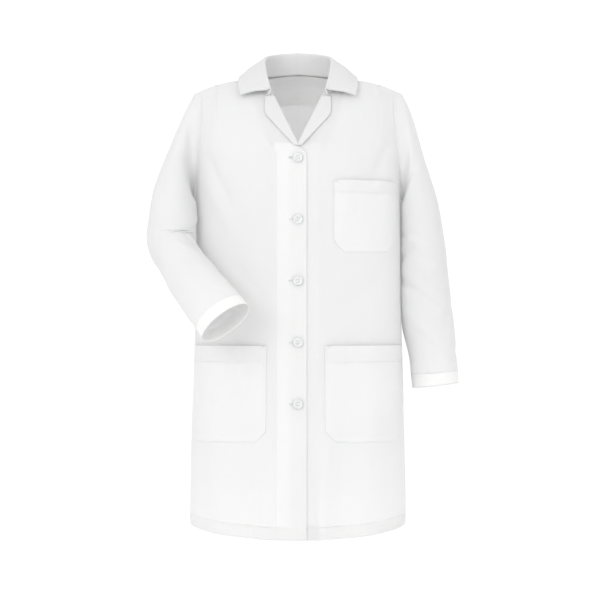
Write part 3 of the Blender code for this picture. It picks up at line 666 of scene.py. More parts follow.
def side_surface(y, z, side, out=0.0):
    """Points on the coat's side at y and z."""
    y, z = np.broadcast_arrays(np.asarray(y, float), np.asarray(z, float))
    back = y > 0
    x = np.full(y.shape, 0.205)
    for _ in range(6):
        hem = HEM_Z
        rise = (z - hem) / (ridge(x, back) - hem)
        size = (np.where(back, BACK_DEPTH, FRONT_DEPTH) + HEM_EXTRA_DEPTH * (1 - rise) ** 2)
        drop = np.maximum(ridge(x, back) - z, SHOULDER_POINT_ROUNDING)
        size = size * rounded(drop, np.where(back, BACK_ROUNDING, FRONT_ROUNDING))
        share = np.clip(np.abs(y) / np.maximum(size, 1e-4), 0, 0.97)
        x = half_width(rise) * (1 - share**SECTION_SQUARENESS) ** (1 / SECTION_SQUARENESS)
    return np.stack([side * (x + out), y, z], -1)


def cut_armhole(grid, side, laps):
    """Opens the armhole: drops the points inside it, and moves those next to it onto its edge."""
    x, y, z = (grid[..., k] for k in range(3))
    place = armhole_place(y, z)
    inside = (place < 1) & (x * side > 0.15)
    keep = ~inside
    near = inside & (neighbours(keep) > 0)
    scale = 1 / np.maximum(place[near], 1e-6)
    new_y = y[near] * scale
    new_z = ARMHOLE_Z + (z[near] - ARMHOLE_Z) * scale
    moved = side_surface(new_y, new_z, side)
    moved[:, 0] = np.where(np.abs(moved[:, 0]) > 0.12, moved[:, 0], x[near])
    grid[near] = moved
    return keep | near


def neighbours(mask):
    """How many of the 8 neighbours of each grid point are set."""
    padded = np.pad(mask.astype(int), 1)
    rows, columns = mask.shape
    return sum(padded[r:r + rows, c:c + columns] for r in range(3) for c in range(3)) - mask


def make_back(side, name, node):
    """Half the back, with its hem turned up and its neck cut out."""
    columns = np.concatenate([[1, 1.001, 1.0035, 1.007, 1.012], spaced(1.02, 1.98, 58), [1.988, 1.994, 1.998, 2.0]])
    x = smooth_torso(columns, 0.98)[:, 0]
    neck = BACK_NECK_SEAM_Z * np.maximum(1 - (x / NECK_HALF_WIDTH) ** 2, 0)
    top = np.where(x < NECK_HALF_WIDTH, (neck - HEM_Z) / (ridge(x, True) - HEM_Z), 1)
    share = np.concatenate([spaced(0, 0.62, 84)[:-1], spaced(0.62, 0.97, 60)[:-1], spaced(0.97, 1, 12)])
    rises = share[:, None] * top[None, :]
    laps = np.broadcast_to(side * columns, rises.shape)
    out = np.zeros_like(rises)
    turned = np.linspace(HEM_WIDTH, 0.0006, 6)[:, None] / -HEM_Z
    rises = np.concatenate([np.broadcast_to(turned, (6, rises.shape[1])), np.full((1, rises.shape[1]), -0.0005), rises])
    rises[7, :] = 0.0004
    laps = np.concatenate([laps[:7], laps])
    out = np.concatenate([np.full((6, out.shape[1]), -PLY), np.full((1, out.shape[1]), -PLY / 2), out])
    grid = torso(laps, rises, out)
    keep = cut_armhole(grid, side, laps)
    item = cloth(name, grid, BODY_CLOTH, keep=keep.ravel())
    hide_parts(node)
    return item


def make_lapel(side, name, node):
    """A front's corner turned back on the roll line, two layers thick."""
    z = np.linspace(-0.1475, -0.0440, 34)[:, None]
    slope = (0.0655 - 0.004) / (-0.083 + 0.150)
    outer = np.minimum(0.0655, 0.004 + slope * (z + 0.150))
    corner = bump(z, -0.083, 0.006)
    outer = outer - 0.0016 * corner
    share = np.concatenate([[0, 0.012, 0.03, 0.06, 0.1], np.linspace(0.16, 0.97, 14), [0.985, 1.0]])[None, :]
    x = roll_line(z) * (1 - share) + outer * share
    roll = np.minimum(share / 0.06, 1)
    lift = -0.0004 + 0.0035 * np.sqrt(np.maximum(1 - (1 - roll) ** 2, 0)) - 0.0008 * share
    lift = lift + 0.0010 * np.sin(share * pi) * bump(z, -0.09, 0.03)
    lap, rise = at_front(side * x, np.broadcast_to(z, x.shape))
    # The lapel gets the painted-shade copy of the poplin.
    item = cloth(name, torso(lap, rise, lift), DOUBLE_PAINTED_SHADE_CLOTH, thick=2 * PLY)
    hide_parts(node)
    return item


make_front(1, "left_front_cloth", "left_front", "left_front_facing")
make_front(-1, "right_front_cloth", "right_front", "right_front_facing")
make_back(1, "left_back_cloth", "left_back")
make_back(-1, "right_back_cloth", "right_back")
make_lapel(1, "left_lapel_cloth", "left_lapel")
make_lapel(-1, "right_lapel_cloth", "right_lapel")


# --- Inside pieces -----------------------------------------------------------------------------------------------
def back_place(x, z):
    """The lap and rise of a place on the back near its middle."""
    x, z = np.broadcast_arrays(np.asarray(x, float), np.asarray(z, float))
    rise = (z - HEM_Z) / (ridge(x, True) - HEM_Z)
    lap = lap_of_x(x, rise)
    return np.where(x < 0, -1, 1) * (2 - np.abs(lap)), rise


def make_neck_facing():
    x = np.linspace(-0.074, 0.074, 50)[None, :]
    seam = BACK_NECK_SEAM_Z * (1 - (x / NECK_HALF_WIDTH) ** 2)
    down = np.linspace(0.055, 0.0, 18)[:, None]
    lap, rise = back_place(np.broadcast_to(x, (18, 50)), seam - down)
    # The neck facing gets the painted-light copy of the poplin.
    item = cloth("neck_facing_cloth", torso(lap, rise, -1.6 * PLY), CUFF_AND_NECK_PAINTED_LIGHT_CLOTH)
    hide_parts("back_neck_facing")


def make_vent():
    x = np.linspace(-0.035, 0.035, 20)[None, :]
    z = np.linspace(HEM_Z + 0.001, HEM_Z + 0.25, 60)[:, None]
    lap, rise = back_place(np.broadcast_to(x, (60, 20)), np.broadcast_to(z, (60, 20)))
    item = cloth("vent_underlay_cloth", torso(lap, rise, -2.4 * PLY), BODY_CLOTH)
    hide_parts("back_vent_underlay")


make_neck_facing()
make_vent()

# --- Collar ------------------------------------------------------------------------------------------------------
COLLAR_SEAM = [(0, 0.064, 0.020), (0.045, 0.0555, 0.0150), (0.0795, 0.006, 0.005), (0.0730, -0.0435, -0.0095),
               (0.0575, -0.0780, -0.0425)]
COLLAR_ROLL = [(0, 0.058, 0.062), (0.042, 0.047, 0.057), (0.0655, 0.003, 0.042), (0.0635, -0.044, 0.008),
               (0.0540, -0.0805, -0.0325)]
COLLAR_EDGE = [(0, 0.090, 0.004), (0.066, 0.079, 0.004), (0.1140, 0.007, 0.0085), (0.1200, -0.0475, -0.0145),
               (0.1150, -0.0810, -0.0435)]


def half_collar(count):
    seam, roll, edge = (through(curve, count) for curve in (COLLAR_SEAM, COLLAR_ROLL, COLLAR_EDGE))
    outward = edge - seam
    outward[:, 2] = 0
    outward /= np.linalg.norm(outward, axis=1, keepdims=True)
    top = roll + outward * 0.0035 + [0, 0, 0.0024]
    over = roll + outward * 0.0070
    belly = (over + edge) / 2 + outward * 0.0028 + [0, 0, 0.0016]
    return np.stack([seam, (seam + roll) / 2, roll, top, over, (over * 2 + belly) / 3, belly, (belly + edge) / 2, edge])


def make_collar():
    count = 44
    left = half_collar(count)
    whole = np.concatenate([left[:, :0:-1] * [-1, 1, 1], left], 1)
    across = np.concatenate([np.linspace(0, 2, 12)[:-1], np.linspace(2, 4, 12)[:-1], np.linspace(4, 7.85, 26),
                             [7.93, 8.0]])
    grid = through(whole, at=across)
    ripple = crumple(grid[..., 0] * 1.3, grid[..., 1] * 1.3 + grid[..., 2])
    grid[..., 2] += 0.0006 * ripple * smooth_step(across, 3, 6)[:, None]
    # The collar gets the painted-shade copy of the poplin.
    item = cloth("collar_cloth", grid, DOUBLE_PAINTED_SHADE_CLOTH, thick=2.6 * PLY)
    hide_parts("upper_collar", "under_collar")
    return grid


collar_grid = make_collar()


# --- Pockets -----------------------------------------------------------------------------------------------------
POCKET_CLIP = 0.021


def pocket_points(side, near_x, width, top_z, height, u, down, out):
    """Places on a pocket: u across it, down from its top."""
    near = float(lap_of_x(np.float64(near_x), rise_of_front(np.float64(top_z - height / 2))))
    wide = width / QUARTER
    clip = np.maximum(down - (height - POCKET_CLIP), 0) / QUARTER
    lap = near + clip + (wide - 2 * clip) * u
    return side * lap, rise_at(lap, top_z - down), out


def make_pocket(name, node, side, near_x, width, top_z, height, fullness, hem):
    """A patch pocket: turned edges, a stitched hem at the top, standing off a little between its seams."""
    u = np.concatenate([[0, 0.004, 0.012], np.linspace(0.03, 0.97, 34), [0.988, 0.996, 1.0]])[None, :]
    down = np.concatenate([[0, 0.0012, 0.003], np.linspace(0.007, height - POCKET_CLIP, 36)[:-1],
                           np.linspace(height - POCKET_CLIP, height - 0.0015, 8), [height]])[::-1, None]

    def lift(u, down):
        off_sides = 1 - (2 * u - 1) ** 6
        off_bottom = smooth_step(height - down, 0, height * 0.30)
        puff = fullness * off_sides * off_bottom * (0.55 + 0.45 * (1 - down / height))
        # The seam allowance turned in along the sides and the bottom makes the rim a little thicker.
        u, down = np.broadcast_arrays(u, down)
        rim = np.minimum(np.minimum(u, 1 - u) * width, height - down)
        edge = np.minimum(rim / 0.0007, 1)
        turned_in = 0.0004 * (1 - smooth_step(rim, 0.008, 0.0105))
        top_fold = 0.0004 * (1 - smooth_step(down, hem - 0.001, hem + 0.001))
        ripples = 0.0008 * crumple(u * 0.7 + near_x, down * 2.4) * off_sides * off_bottom
        return 0.0003 + 0.0008 * edge + turned_in + top_fold + puff + ripples

    lap, rise, out = pocket_points(side, near_x, width, top_z, height, u, down, lift(u, down))
    lap, rise, out = np.broadcast_arrays(lap, rise, out)
    grid = torso(lap, rise, out)
    # The hem is turned in: rows behind the top edge that run down inside.
    inside = np.linspace(0.0004, hem, 7)[:, None]
    lap_in, rise_in, out_in = np.broadcast_arrays(
        *pocket_points(side, near_x, width, top_z, height, u, inside, lift(u, inside) - 0.9 * PLY))
    grid = np.concatenate([grid, torso(lap_in, rise_in, out_in)])
    item = cloth(name, grid, POCKET_CLOTH)
    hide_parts(node)

    runs = []
    inset = 0.0022

    def run(us, downs):
        us, downs = np.asarray(us, float), np.asarray(downs, float)
        lap, rise, out = pocket_points(side, near_x, width, top_z, height, us, downs, lift(us, downs) + 0.0001)
        return torso_run(lap, rise, out)

    i = inset / width
    path = np.array([(i, 0.001), (i, height - POCKET_CLIP + 0.001), (i * 1.3, height - inset), (1 - i * 1.3, height - inset),
                     (1 - i, height - POCKET_CLIP + 0.001), (1 - i, 0.001)])
    path = evenly(path * [width, 1], 0.003) / [width, 1]
    runs.append(run(path[:, 0], path[:, 1]))
    across = np.linspace(i, 1 - i, 60)
    runs.append(run(across, np.full(60, hem - 0.002)))
    # Bar tacks at the two top corners.
    for corner in (0.5 * i, 1 - 4.5 * i):
        tack = np.linspace(0, 4 * i, 4)
        for k in range(5):
            runs.append(run(corner + tack, np.full(4, 0.0008 + 0.0009 * k)))
    stitch_mesh(name + "_stitches", runs, "coat")
    return item


make_pocket("chest_pocket_cloth", "chest_pocket", 1, 0.0706, 0.132, -0.2155, 0.141, 0.0040, 0.026)
make_pocket("left_pocket_cloth", "left_pocket", 1, 0.0530, 0.176, -0.5405, 0.1905, 0.0065, 0.034)
make_pocket("right_pocket_cloth", "right_pocket", -1, 0.0620, 0.170, -0.5405, 0.1905, 0.0065, 0.034)

# --- Sleeves -----------------------------------------------------------------------------------------------------
# A station of an upper sleeve, on the wearer's left: its top line point (x, z), its underarm line point (x, z), half
# its depth, and the y of its centre.
LEFT_UPPER = [
    (0.2205, -0.0440, 0.2150, -0.2480, 0.0600, 0.002),
    (0.2385, -0.0920, 0.2150, -0.2620, 0.0670, 0.003),
    (0.2600, -0.1660, 0.2150, -0.2850, 0.0690, 0.003),
    (0.2860, -0.2500, 0.2152, -0.3120, 0.0670, 0.001),
    (0.3005, -0.3400, 0.2155, -0.3400, 0.0630, -0.002),
]
RIGHT_UPPER = [
    (0.2200, -0.0440, 0.2150, -0.2420, 0.0600, 0.001),
    (0.2405, -0.0920, 0.2150, -0.2530, 0.0670, -0.012),
    (0.2685, -0.1660, 0.2150, -0.2700, 0.0690, -0.038),
    (0.2900, -0.2350, 0.2165, -0.2920, 0.0650, -0.064),
    (0.3010, -0.3150, 0.2195, -0.3150, 0.0590, -0.071),
]
# A lower sleeve hangs straight from its elbow here: distance down, drift outwards and backwards, half its width, half
# its depth, and the degrees that its section is turned by.
LEFT_LOWER = [
    (0.000, 0.0000, 0.000, 0.0425, 0.0630, 0),
    (0.090, 0.0045, -0.006, 0.0475, 0.0560, 0),
    (0.170, 0.0110, -0.014, 0.0488, 0.0510, 0),
    (0.242, 0.0168, -0.024, 0.0480, 0.0460, 0),
    (0.288, 0.0200, -0.030, 0.0468, 0.0430, 0),
]
RIGHT_LOWER = [
    (0.000, 0.0000, 0.000, 0.0410, 0.0580, 0),
    (0.050, 0.0000, 0.000, 0.0465, 0.0510, 3),
    (0.105, 0.0000, 0.000, 0.0500, 0.0430, 7),
    (0.162, -0.0010, 0.000, 0.0525, 0.0360, 10),
    (0.217, -0.0025, 0.000, 0.0545, 0.0320, 11),
]
joints = {joint["name"]: joint for joint in frame["joints"]}
ROUND = 108  # points round a sleeve
CUFF_TILT = {"left": 0.011, "right": 0.0}
REST_SHIFT = 0.016
REST_GAP = 0.0012
REST_ENDS = {"left": (0.33, 0.46), "right": (0.225, 0.30)}
REST_BEND = {"left": 0, "right": 50}


def turned(points, joint, degrees):
    """Points turned about a joint's axis."""
    about = np.array(joints[joint]["pos_m"])
    matrix = np.array(Matrix.Rotation(radians(degrees), 3, Vector(joints[joint]["axis"]).normalized()))
    return (points - about) @ matrix.T + about


def upper_ring(station, side):
    top_x, top_z, under_x, under_z, half_depth, y = station
    reach = np.array([(top_x - under_x) / 2, 0, (top_z - under_z) / 2])
    turn = 2 * pi * np.arange(ROUND) / ROUND
    centre = np.array([(top_x + under_x) / 2, y, (top_z + under_z) / 2])
    points = centre + np.cos(turn)[:, None] * reach + np.sin(turn)[:, None] * [0, half_depth, 0]
    return points * [side, 1, 1]


def lower_ring(station, upper, side):
    down, outwards, backwards, half_w, half_d, twist = station
    top_x, top_z, under_x, _, _, y = upper[-1]
    centre = np.array([(top_x + under_x) / 2 + outwards, y + backwards, top_z - down])
    turn = 2 * pi * np.arange(ROUND) / ROUND
    x, y = np.cos(turn) * half_w, np.sin(turn) * half_d
    spin = radians(twist)
    flat = np.stack([x * cos(spin) - y * sin(spin), x * sin(spin) + y * cos(spin), 0 * turn], 1)
    return (flat + centre) * [side, 1, 1]


def armhole_ring(side):
    turn = 2 * pi * np.arange(ROUND) / ROUND
    y = np.sin(turn) * ARMHOLE_HALF_DEPTH
    z = ARMHOLE_Z + np.cos(turn) * ARMHOLE_HALF_HEIGHT
    return side_surface(y, z, side, 0.0002)


def sleeve_grid(side, word, upper, lower):
    """A whole sleeve, from the armhole to the cuff, as rings."""
    bend = REST_BEND[word]
    first = armhole_ring(side)
    keys = [first] + [upper_ring(station, side) for station in upper]
    rings = list(through(np.array(keys), at=np.linspace(0, len(keys) - 1, 62)))
    elbow = lower_ring(lower[0], upper, side)
    for share in np.linspace(0, 1, 15)[1:]:
        if bend:
            rings.append(turned(elbow, f"{word}_elbow", bend * share))
    rest = through(np.array([lower_ring(station, upper, side) for station in lower]), 58)[1:]
    # The cuff is a little shorter on its outer side.
    share = smooth_step(np.arange(len(rest)), len(rest) * 0.55, len(rest) - 1)
    rest[..., 2] += (CUFF_TILT[word] * share)[:, None] * (1 + np.cos(2 * pi * np.arange(ROUND) / ROUND))[None, :] / 2
    rings += [turned(points, f"{word}_elbow", bend) for points in rest]
    return rest_on_body(np.array(rings), side, word)


def rest_on_body(grid, side, word):
    """Draws a sleeve's inner side in towards the coat, and stops it where it meets the coat."""
    turn = 2 * pi * np.arange(ROUND) / ROUND
    down = along_tube(grid)[:, None]
    inner = ((1 - np.cos(turn)) / 2)[None, :] ** 1.5
    reach = smooth_step(down, 0.03, 0.10) * (1 - smooth_step(down, *REST_ENDS[word]))
    x = side * grid[..., 0] - REST_SHIFT * inner * reach
    y, z = grid[..., 1], grid[..., 2]
    body = side * side_surface(y, np.minimum(z, -0.06), side)[..., 0] + REST_GAP
    meets = smooth_step(-z, 0.20, 0.25)
    gap = x - np.where(np.abs(y) < 0.118, body, 0)
    x = x + meets * 0.5 * (np.sqrt(gap**2 + 0.004**2) - gap)
    return np.stack([side * x, y, z], -1)


def grid_normals(grid):
    """Outward normals of a closed tube's grid."""
    along = np.gradient(grid, axis=0)
    around = np.roll(grid, -1, 1) - np.roll(grid, 1, 1)
    normal = np.cross(around, along)
    normal /= np.maximum(np.linalg.norm(normal, axis=-1, keepdims=True), 1e-12)
    outward = ((grid - grid.mean(1, keepdims=True)) * normal).sum(-1)
    return normal * np.sign(outward.mean())


def along_tube(grid):
    """Distance down a tube from its first ring, by its middle line."""
    middle = grid.mean(1)
    return np.concatenate([[0], np.cumsum(np.linalg.norm(np.diff(middle, axis=0), axis=1))])


def angle_gap(turn, at):
    """Signed difference of two angles."""
    return (turn - at + pi) % (2 * pi) - pi


# Creases of a sleeve: distance down it, the angle round it (0 outside, 90 back, 180 inside, 270 front), slope down the
# sleeve for each radian round it, half width, reach round it in radians, and height.
SLEEVE_CREASES = {
    "left": (
        (0.060, 250, 0.030, 0.010, 0.55, -0.0030), (0.095, 300, 0.020, 0.012, 0.60, 0.0026),
        (0.180, 215, 0.035, 0.011, 0.60, -0.0032), (0.215, 255, 0.050, 0.012, 0.75, 0.0032),
        (0.250, 200, -0.040, 0.009, 0.70, -0.0042), (0.275, 270, -0.030, 0.010, 0.90, 0.0034),
        (0.300, 230, 0.030, 0.009, 0.80, -0.0038), (0.325, 290, 0.035, 0.010, 0.70, 0.0030),
        (0.360, 320, -0.040, 0.012, 0.60, -0.0026), (0.410, 280, 0.050, 0.014, 0.80, 0.0026),
        (0.455, 330, -0.045, 0.013, 0.70, -0.0026), (0.500, 300, 0.040, 0.012, 0.60, 0.0022),
        (0.260, 90, 0.030, 0.014, 0.90, 0.0030), (0.310, 110, -0.030, 0.013, 0.80, -0.0032),
        (0.400, 80, 0.040, 0.015, 0.80, 0.0026),
    ),
    "right": (
        (0.055, 290, 0.030, 0.012, 0.60, -0.0022), (0.110, 240, 0.040, 0.014, 0.60, 0.0022),
        (0.150, 300, -0.030, 0.014, 0.60, -0.0018), (0.200, 200, 0.045, 0.011, 0.55, -0.0030),
        (0.222, 215, 0.055, 0.010, 0.60, 0.0028), (0.244, 200, -0.040, 0.010, 0.55, -0.0030),
        (0.262, 215, -0.060, 0.011, 0.65, 0.0030), (0.285, 205, -0.070, 0.010, 0.60, -0.0026),
        (0.310, 235, -0.070, 0.012, 0.70, 0.0024), (0.340, 215, -0.060, 0.012, 0.60, -0.0020),
        (0.372, 280, -0.050, 0.014, 0.60, 0.0018), (0.405, 250, -0.060, 0.013, 0.60, -0.0018),
        (0.440, 300, 0.040, 0.014, 0.60, 0.0014), (0.250, 20, 0.030, 0.018, 0.80, 0.0024),
        (0.285, 60, -0.025, 0.016, 0.80, -0.0024), (0.330, 350, 0.030, 0.018, 0.70, 0.0020),
    ),
}


def creased(grid, word):
    """The sleeve with its creases and a soft crumple."""
    down = along_tube(grid)[:, None]
    turn = (2 * pi * np.arange(ROUND) / ROUND)[None, :]
    total = down[-1, 0]
    height = 0.0008 * crumple(np.sin(turn) * 0.12 + 3, down * 1.2 + np.cos(turn) * 0.07)
    for at, angle, slope, width, reach, size in SLEEVE_CREASES[word]:
        gap = angle_gap(turn, radians(angle))
        height = height + size * bump(down - slope * gap, at, width) * bump(gap, 0, reach)
    # Seams hold the cloth still: the armhole, the hem, and the seam under the arm.
    still = smooth_step(down, 0.004, 0.05) * (1 - 0.8 * smooth_step(down, total - 0.06, total - 0.02))
    height = height * still - 0.0006 * np.exp(-np.abs(angle_gap(turn, pi)) * 0.05 / 0.0018)
    puff = 0.0010 * bump(down, 0.006, 0.004)
    return grid + grid_normals(grid) * (height + puff)[..., None]


SLEEVE_HEM = 0.028


def make_sleeve(side, word, upper, lower):
    grid = creased(sleeve_grid(side, word, upper, lower), word)
    normals = grid_normals(grid)
    down = along_tube(grid)
    total = down[-1]
    # The hem is turned in at the cuff.
    inside = np.linspace(total - 0.0006, total - SLEEVE_HEM, 9)
    hem = [np.stack([np.interp(at, down, grid[:, k, axis]) for k in range(ROUND) for axis in range(3)]).reshape(-1, 3)
           for at in inside]
    hem_normals = [normals[np.searchsorted(down, at) - 1] for at in inside]
    hem = [points - normal * 0.0011 for points, normal in zip(hem, hem_normals)]
    split = int(np.searchsorted(down, 0.150))
    above, below = grid[: split + 1], np.concatenate([grid[split:], np.array(hem)])
    turned_rings = [above, below]
    parts = []
    for label, rings in zip(("cap", "arm"), turned_rings):
        rings = np.concatenate([rings, rings[:, :1]], 1)
        parts.append(cloth(f"{word}_sleeve_{label}", rings, BODY_CLOTH, body=None))
        if label == "arm":
            hem_row = int(np.searchsorted(down, total - SLEEVE_HEM)) - split
            in_hem = np.arange(len(rings))[:, None] >= hem_row
            # The cuff's hem rows get the painted-light copy of the poplin.
            give_looks(parts[-1], np.broadcast_to(in_hem, rings.shape[:2]), CUFF_AND_NECK_PAINTED_LIGHT_CLOTH)
    cap, arm = parts
    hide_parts(f"{word}_upper_sleeve")
    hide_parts(f"{word}_lower_sleeve", f"{word}_cuff_hem")
    for item in parts:
        weld_loop(item)
    share_normals(cap, arm, above[-1], normals[split])
    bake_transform(cap)
    elbow = joints[f"{word}_elbow"]["pos_m"]
    run = grid[np.searchsorted(down, 0.330)].mean(0) - grid[np.searchsorted(down, 0.190)].mean(0)
    run /= np.linalg.norm(run)
    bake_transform(arm)
    # The hem's stitches.
    at = total - SLEEVE_HEM + 0.002
    ring = np.stack([np.interp(at, down, grid[:, k, axis]) for k in range(ROUND) for axis in range(3)]).reshape(-1, 3)
    normal = normals[np.searchsorted(down, at)]
    ring, normal = np.concatenate([ring, ring[:1]]), np.concatenate([normal, normal[:1]])
    stitch_mesh(f"{word}_cuff_stitches", [(ring + normal * 0.0001, normal)], f"{word}_forearm")
    return grid


def weld_loop(item):
    """Joins a tube's first and last columns, which hold the two ends of its UVs."""
    bm = bmesh.new()
    bm.from_mesh(item.data)
    bmesh.ops.remove_doubles(bm, verts=bm.verts, dist=1e-6)
    bmesh.ops.recalc_face_normals(bm, faces=bm.faces)
    bm.to_mesh(item.data)
    bm.free()


def share_normals(cap, arm, ring, ring_normals):
    """Gives both halves of a sleeve the same normals where they meet, so that no line shows."""
    for item in (cap, arm):
        mesh = item.data
        mesh.update()
        normals = np.zeros(len(mesh.vertices) * 3)
        mesh.vertices.foreach_get("normal", normals)
        normals = normals.reshape(-1, 3)
        places = np.array([v.co for v in mesh.vertices])
        for point, normal in zip(ring, ring_normals):
            i = int(np.argmin(((places - point) ** 2).sum(1)))
            sign = 1 if normals[i] @ normal > 0 else -1
            normals[i] = sign * normal
        mesh.normals_split_custom_set_from_vertices([tuple(n) for n in normals])


left_grid = make_sleeve(1, "left", LEFT_UPPER, LEFT_LOWER)
right_grid = make_sleeve(-1, "right", RIGHT_UPPER, RIGHT_LOWER)


# --- Seams on the body -------------------------------------------------------------------------------------------
def make_body_stitches():
    runs = []
    z = np.linspace(HEM_Z - FRONT_HEM_DIP + 0.001, -0.1475, 200)
    for side in (1, -1):
        for inset in (0.0055,):
            lap, rise = at_front(-side * (front_edge(z) - inset), z)
            below = layer_below(side, side * (-side * (front_edge(z) - inset)), z)
            if side < 0:
                runs.append(torso_run(lap, rise, below + 0.0001))
    laps = np.linspace(-2, 2, 700)
    for high in (HEM_WIDTH - 0.002,):
        below = layer_below(1, smooth_torso(laps, 0.01)[..., 0], np.full(700, -0.9)) * (laps > -0.06) * (laps < 0.2)
        hidden = (laps > -0.06) & (laps < 0.066)
        for part in (laps[laps <= 0.0665], laps[laps > 0.069]):
            runs.append(torso_run(part, np.full(len(part), high / -HEM_Z), 0.0001))
    for side in (1, -1):
        turn = np.linspace(-pi, pi, 260)[:-1]
        inset = 1 + 0.0062 / ARMHOLE_HALF_DEPTH
        y = np.sin(turn) * ARMHOLE_HALF_DEPTH * inset
        zz = ARMHOLE_Z + np.cos(turn) * (ARMHOLE_HALF_HEIGHT + 0.0062)
        ok = (zz < -0.052)
        for part in (turn[ok & (turn > 0)], turn[ok & (turn < 0)]):
            y = np.sin(part) * ARMHOLE_HALF_DEPTH * inset
            zz = ARMHOLE_Z + np.cos(part) * (ARMHOLE_HALF_HEIGHT + 0.0062)
            runs.append(surface_run(y, zz, side))
    return stitch_mesh("body_stitches", runs, "coat")


def surface_run(y, z, side):
    """A line on the coat's side through y and z, found on the folded surface."""
    flat = side_surface(y, z, side)
    turn = np.clip(np.abs(flat[:, 0]) / half_width(0.9), 0, 1)
    lap = np.interp(turn, ACROSS, LAP)
    back = y > 0
    rise = (z - HEM_Z) / (ridge(flat[:, 0], back) - HEM_Z)
    lap = side * np.where(back, 2 - lap, lap)
    return torso_run(lap, rise, 0.0001)


make_body_stitches()


# --- Buttons and buttonholes -------------------------------------------------------------------------------------
def button_mesh():
    """A four-hole coat button: a rounded rim, a dished middle and countersunk holes."""
    profile = [(0.0, 0.0), (0.0072, 0.0), (0.0086, 0.0004), (0.0093, 0.0012), (BUTTON_RADIUS, 0.0018), (0.0093, 0.0025),
               (0.0087, 0.0029), (0.0080, 0.00295), (0.0073, 0.0027), (0.0066, 0.0021), (0.0058, 0.0018),
               (0.0030, 0.00165), (0.0, 0.0016)]
    bm = bmesh.new()
    line = [bm.verts.new((r, 0, z)) for r, z in profile]
    edges = [bm.edges.new(pair) for pair in zip(line, line[1:])]
    bmesh.ops.spin(bm, geom=line + edges, cent=(0, 0, 0), axis=(0, 0, 1), angle=2 * pi, steps=64, use_merge=True)
    bmesh.ops.remove_doubles(bm, verts=bm.verts, dist=1e-5)
    bmesh.ops.recalc_face_normals(bm, faces=bm.faces)
    mesh = bpy.data.meshes.new("button")
    bm.to_mesh(mesh)
    bm.free()
    mesh.shade_smooth()
    mesh.set_sharp_from_angle(angle=radians(50))
    mesh.materials.append(PEARL)
    return mesh


HOLE_OFFSET = 0.0021


def hole_cutter():
    bm = bmesh.new()
    for kx in (-1, 1):
        for ky in (-1, 1):
            place = Matrix.Translation((kx * HOLE_OFFSET, ky * HOLE_OFFSET, 0.001))
            bmesh.ops.create_cone(bm, cap_ends=True, segments=20, radius1=0.00085, radius2=0.00085, depth=0.008,
                                  matrix=place)
            sink = Matrix.Translation((kx * HOLE_OFFSET, ky * HOLE_OFFSET, 0.0019))
            bmesh.ops.create_cone(bm, cap_ends=True, segments=20, radius1=0.0006, radius2=0.0014, depth=0.0008,
                                  matrix=sink)
    mesh = bpy.data.meshes.new("holes")
    bm.to_mesh(mesh)
    bm.free()
    return mesh


def tube(points, radius, sides=8):
    """Points and faces of a closed round tube along a line."""
    points = np.asarray(points, float)
    run = np.gradient(points, axis=0)
    run /= np.linalg.norm(run, axis=1, keepdims=True)
    up = np.array([0, 0, 1.0])
    side = np.cross(run, up)
    weak = np.linalg.norm(side, axis=1) < 1e-3
    side[weak] = [1, 0, 0]
    side /= np.linalg.norm(side, axis=1, keepdims=True)
    other = np.cross(side, run)
    turn = 2 * pi * np.arange(sides) / sides
    rings = points[:, None] + radius * (side[:, None] * np.cos(turn)[None, :, None]
                                        + other[:, None] * np.sin(turn)[None, :, None])
    faces = grid_faces(len(points), sides, closed=True)
    faces.append(tuple(reversed(range(sides))))
    faces.append(tuple((len(points) - 1) * sides + k for k in range(sides)))
    return rings.reshape(-1, 3), faces


def sewing_mesh(name):
    """The thread that holds a button: doubled stitches over two pairs of holes, and a wound shank."""
    points, faces = [], []
    for kx in (-1, 1):
        for strand in (-0.00038, 0.0, 0.00038):
            x = kx * HOLE_OFFSET + strand
            line = [(x, -HOLE_OFFSET, 0.0), (x, -HOLE_OFFSET + 0.0001, 0.0014), (x, -HOLE_OFFSET + 0.0006, 0.00215),
                    (x, 0, 0.0024 + 0.0002 * (strand == 0)), (x, HOLE_OFFSET - 0.0006, 0.00215),
                    (x, HOLE_OFFSET - 0.0001, 0.0014), (x, HOLE_OFFSET, 0.0)]
            new, quads = tube(through(line, 26), 0.00024)
            base = sum(len(p) for p in points)
            points.append(new)
            faces += [tuple(base + i for i in quad) for quad in quads]
    wind = np.linspace(0, 1, 150)
    turns = 2 * pi * 7 * wind
    line = np.stack([0.0010 * np.cos(turns), 0.0010 * np.sin(turns), -0.0003 - 0.0013 * wind], 1)
    new, quads = tube(line, 0.00022)
    base = sum(len(p) for p in points)
    points.append(new)
    faces += [tuple(base + i for i in quad) for quad in quads]
    mesh = bpy.data.meshes.new(name)
    mesh.from_pydata(np.concatenate(points).tolist(), [], faces)
    mesh.shade_smooth()
    mesh.materials.append(THREAD)
    return mesh


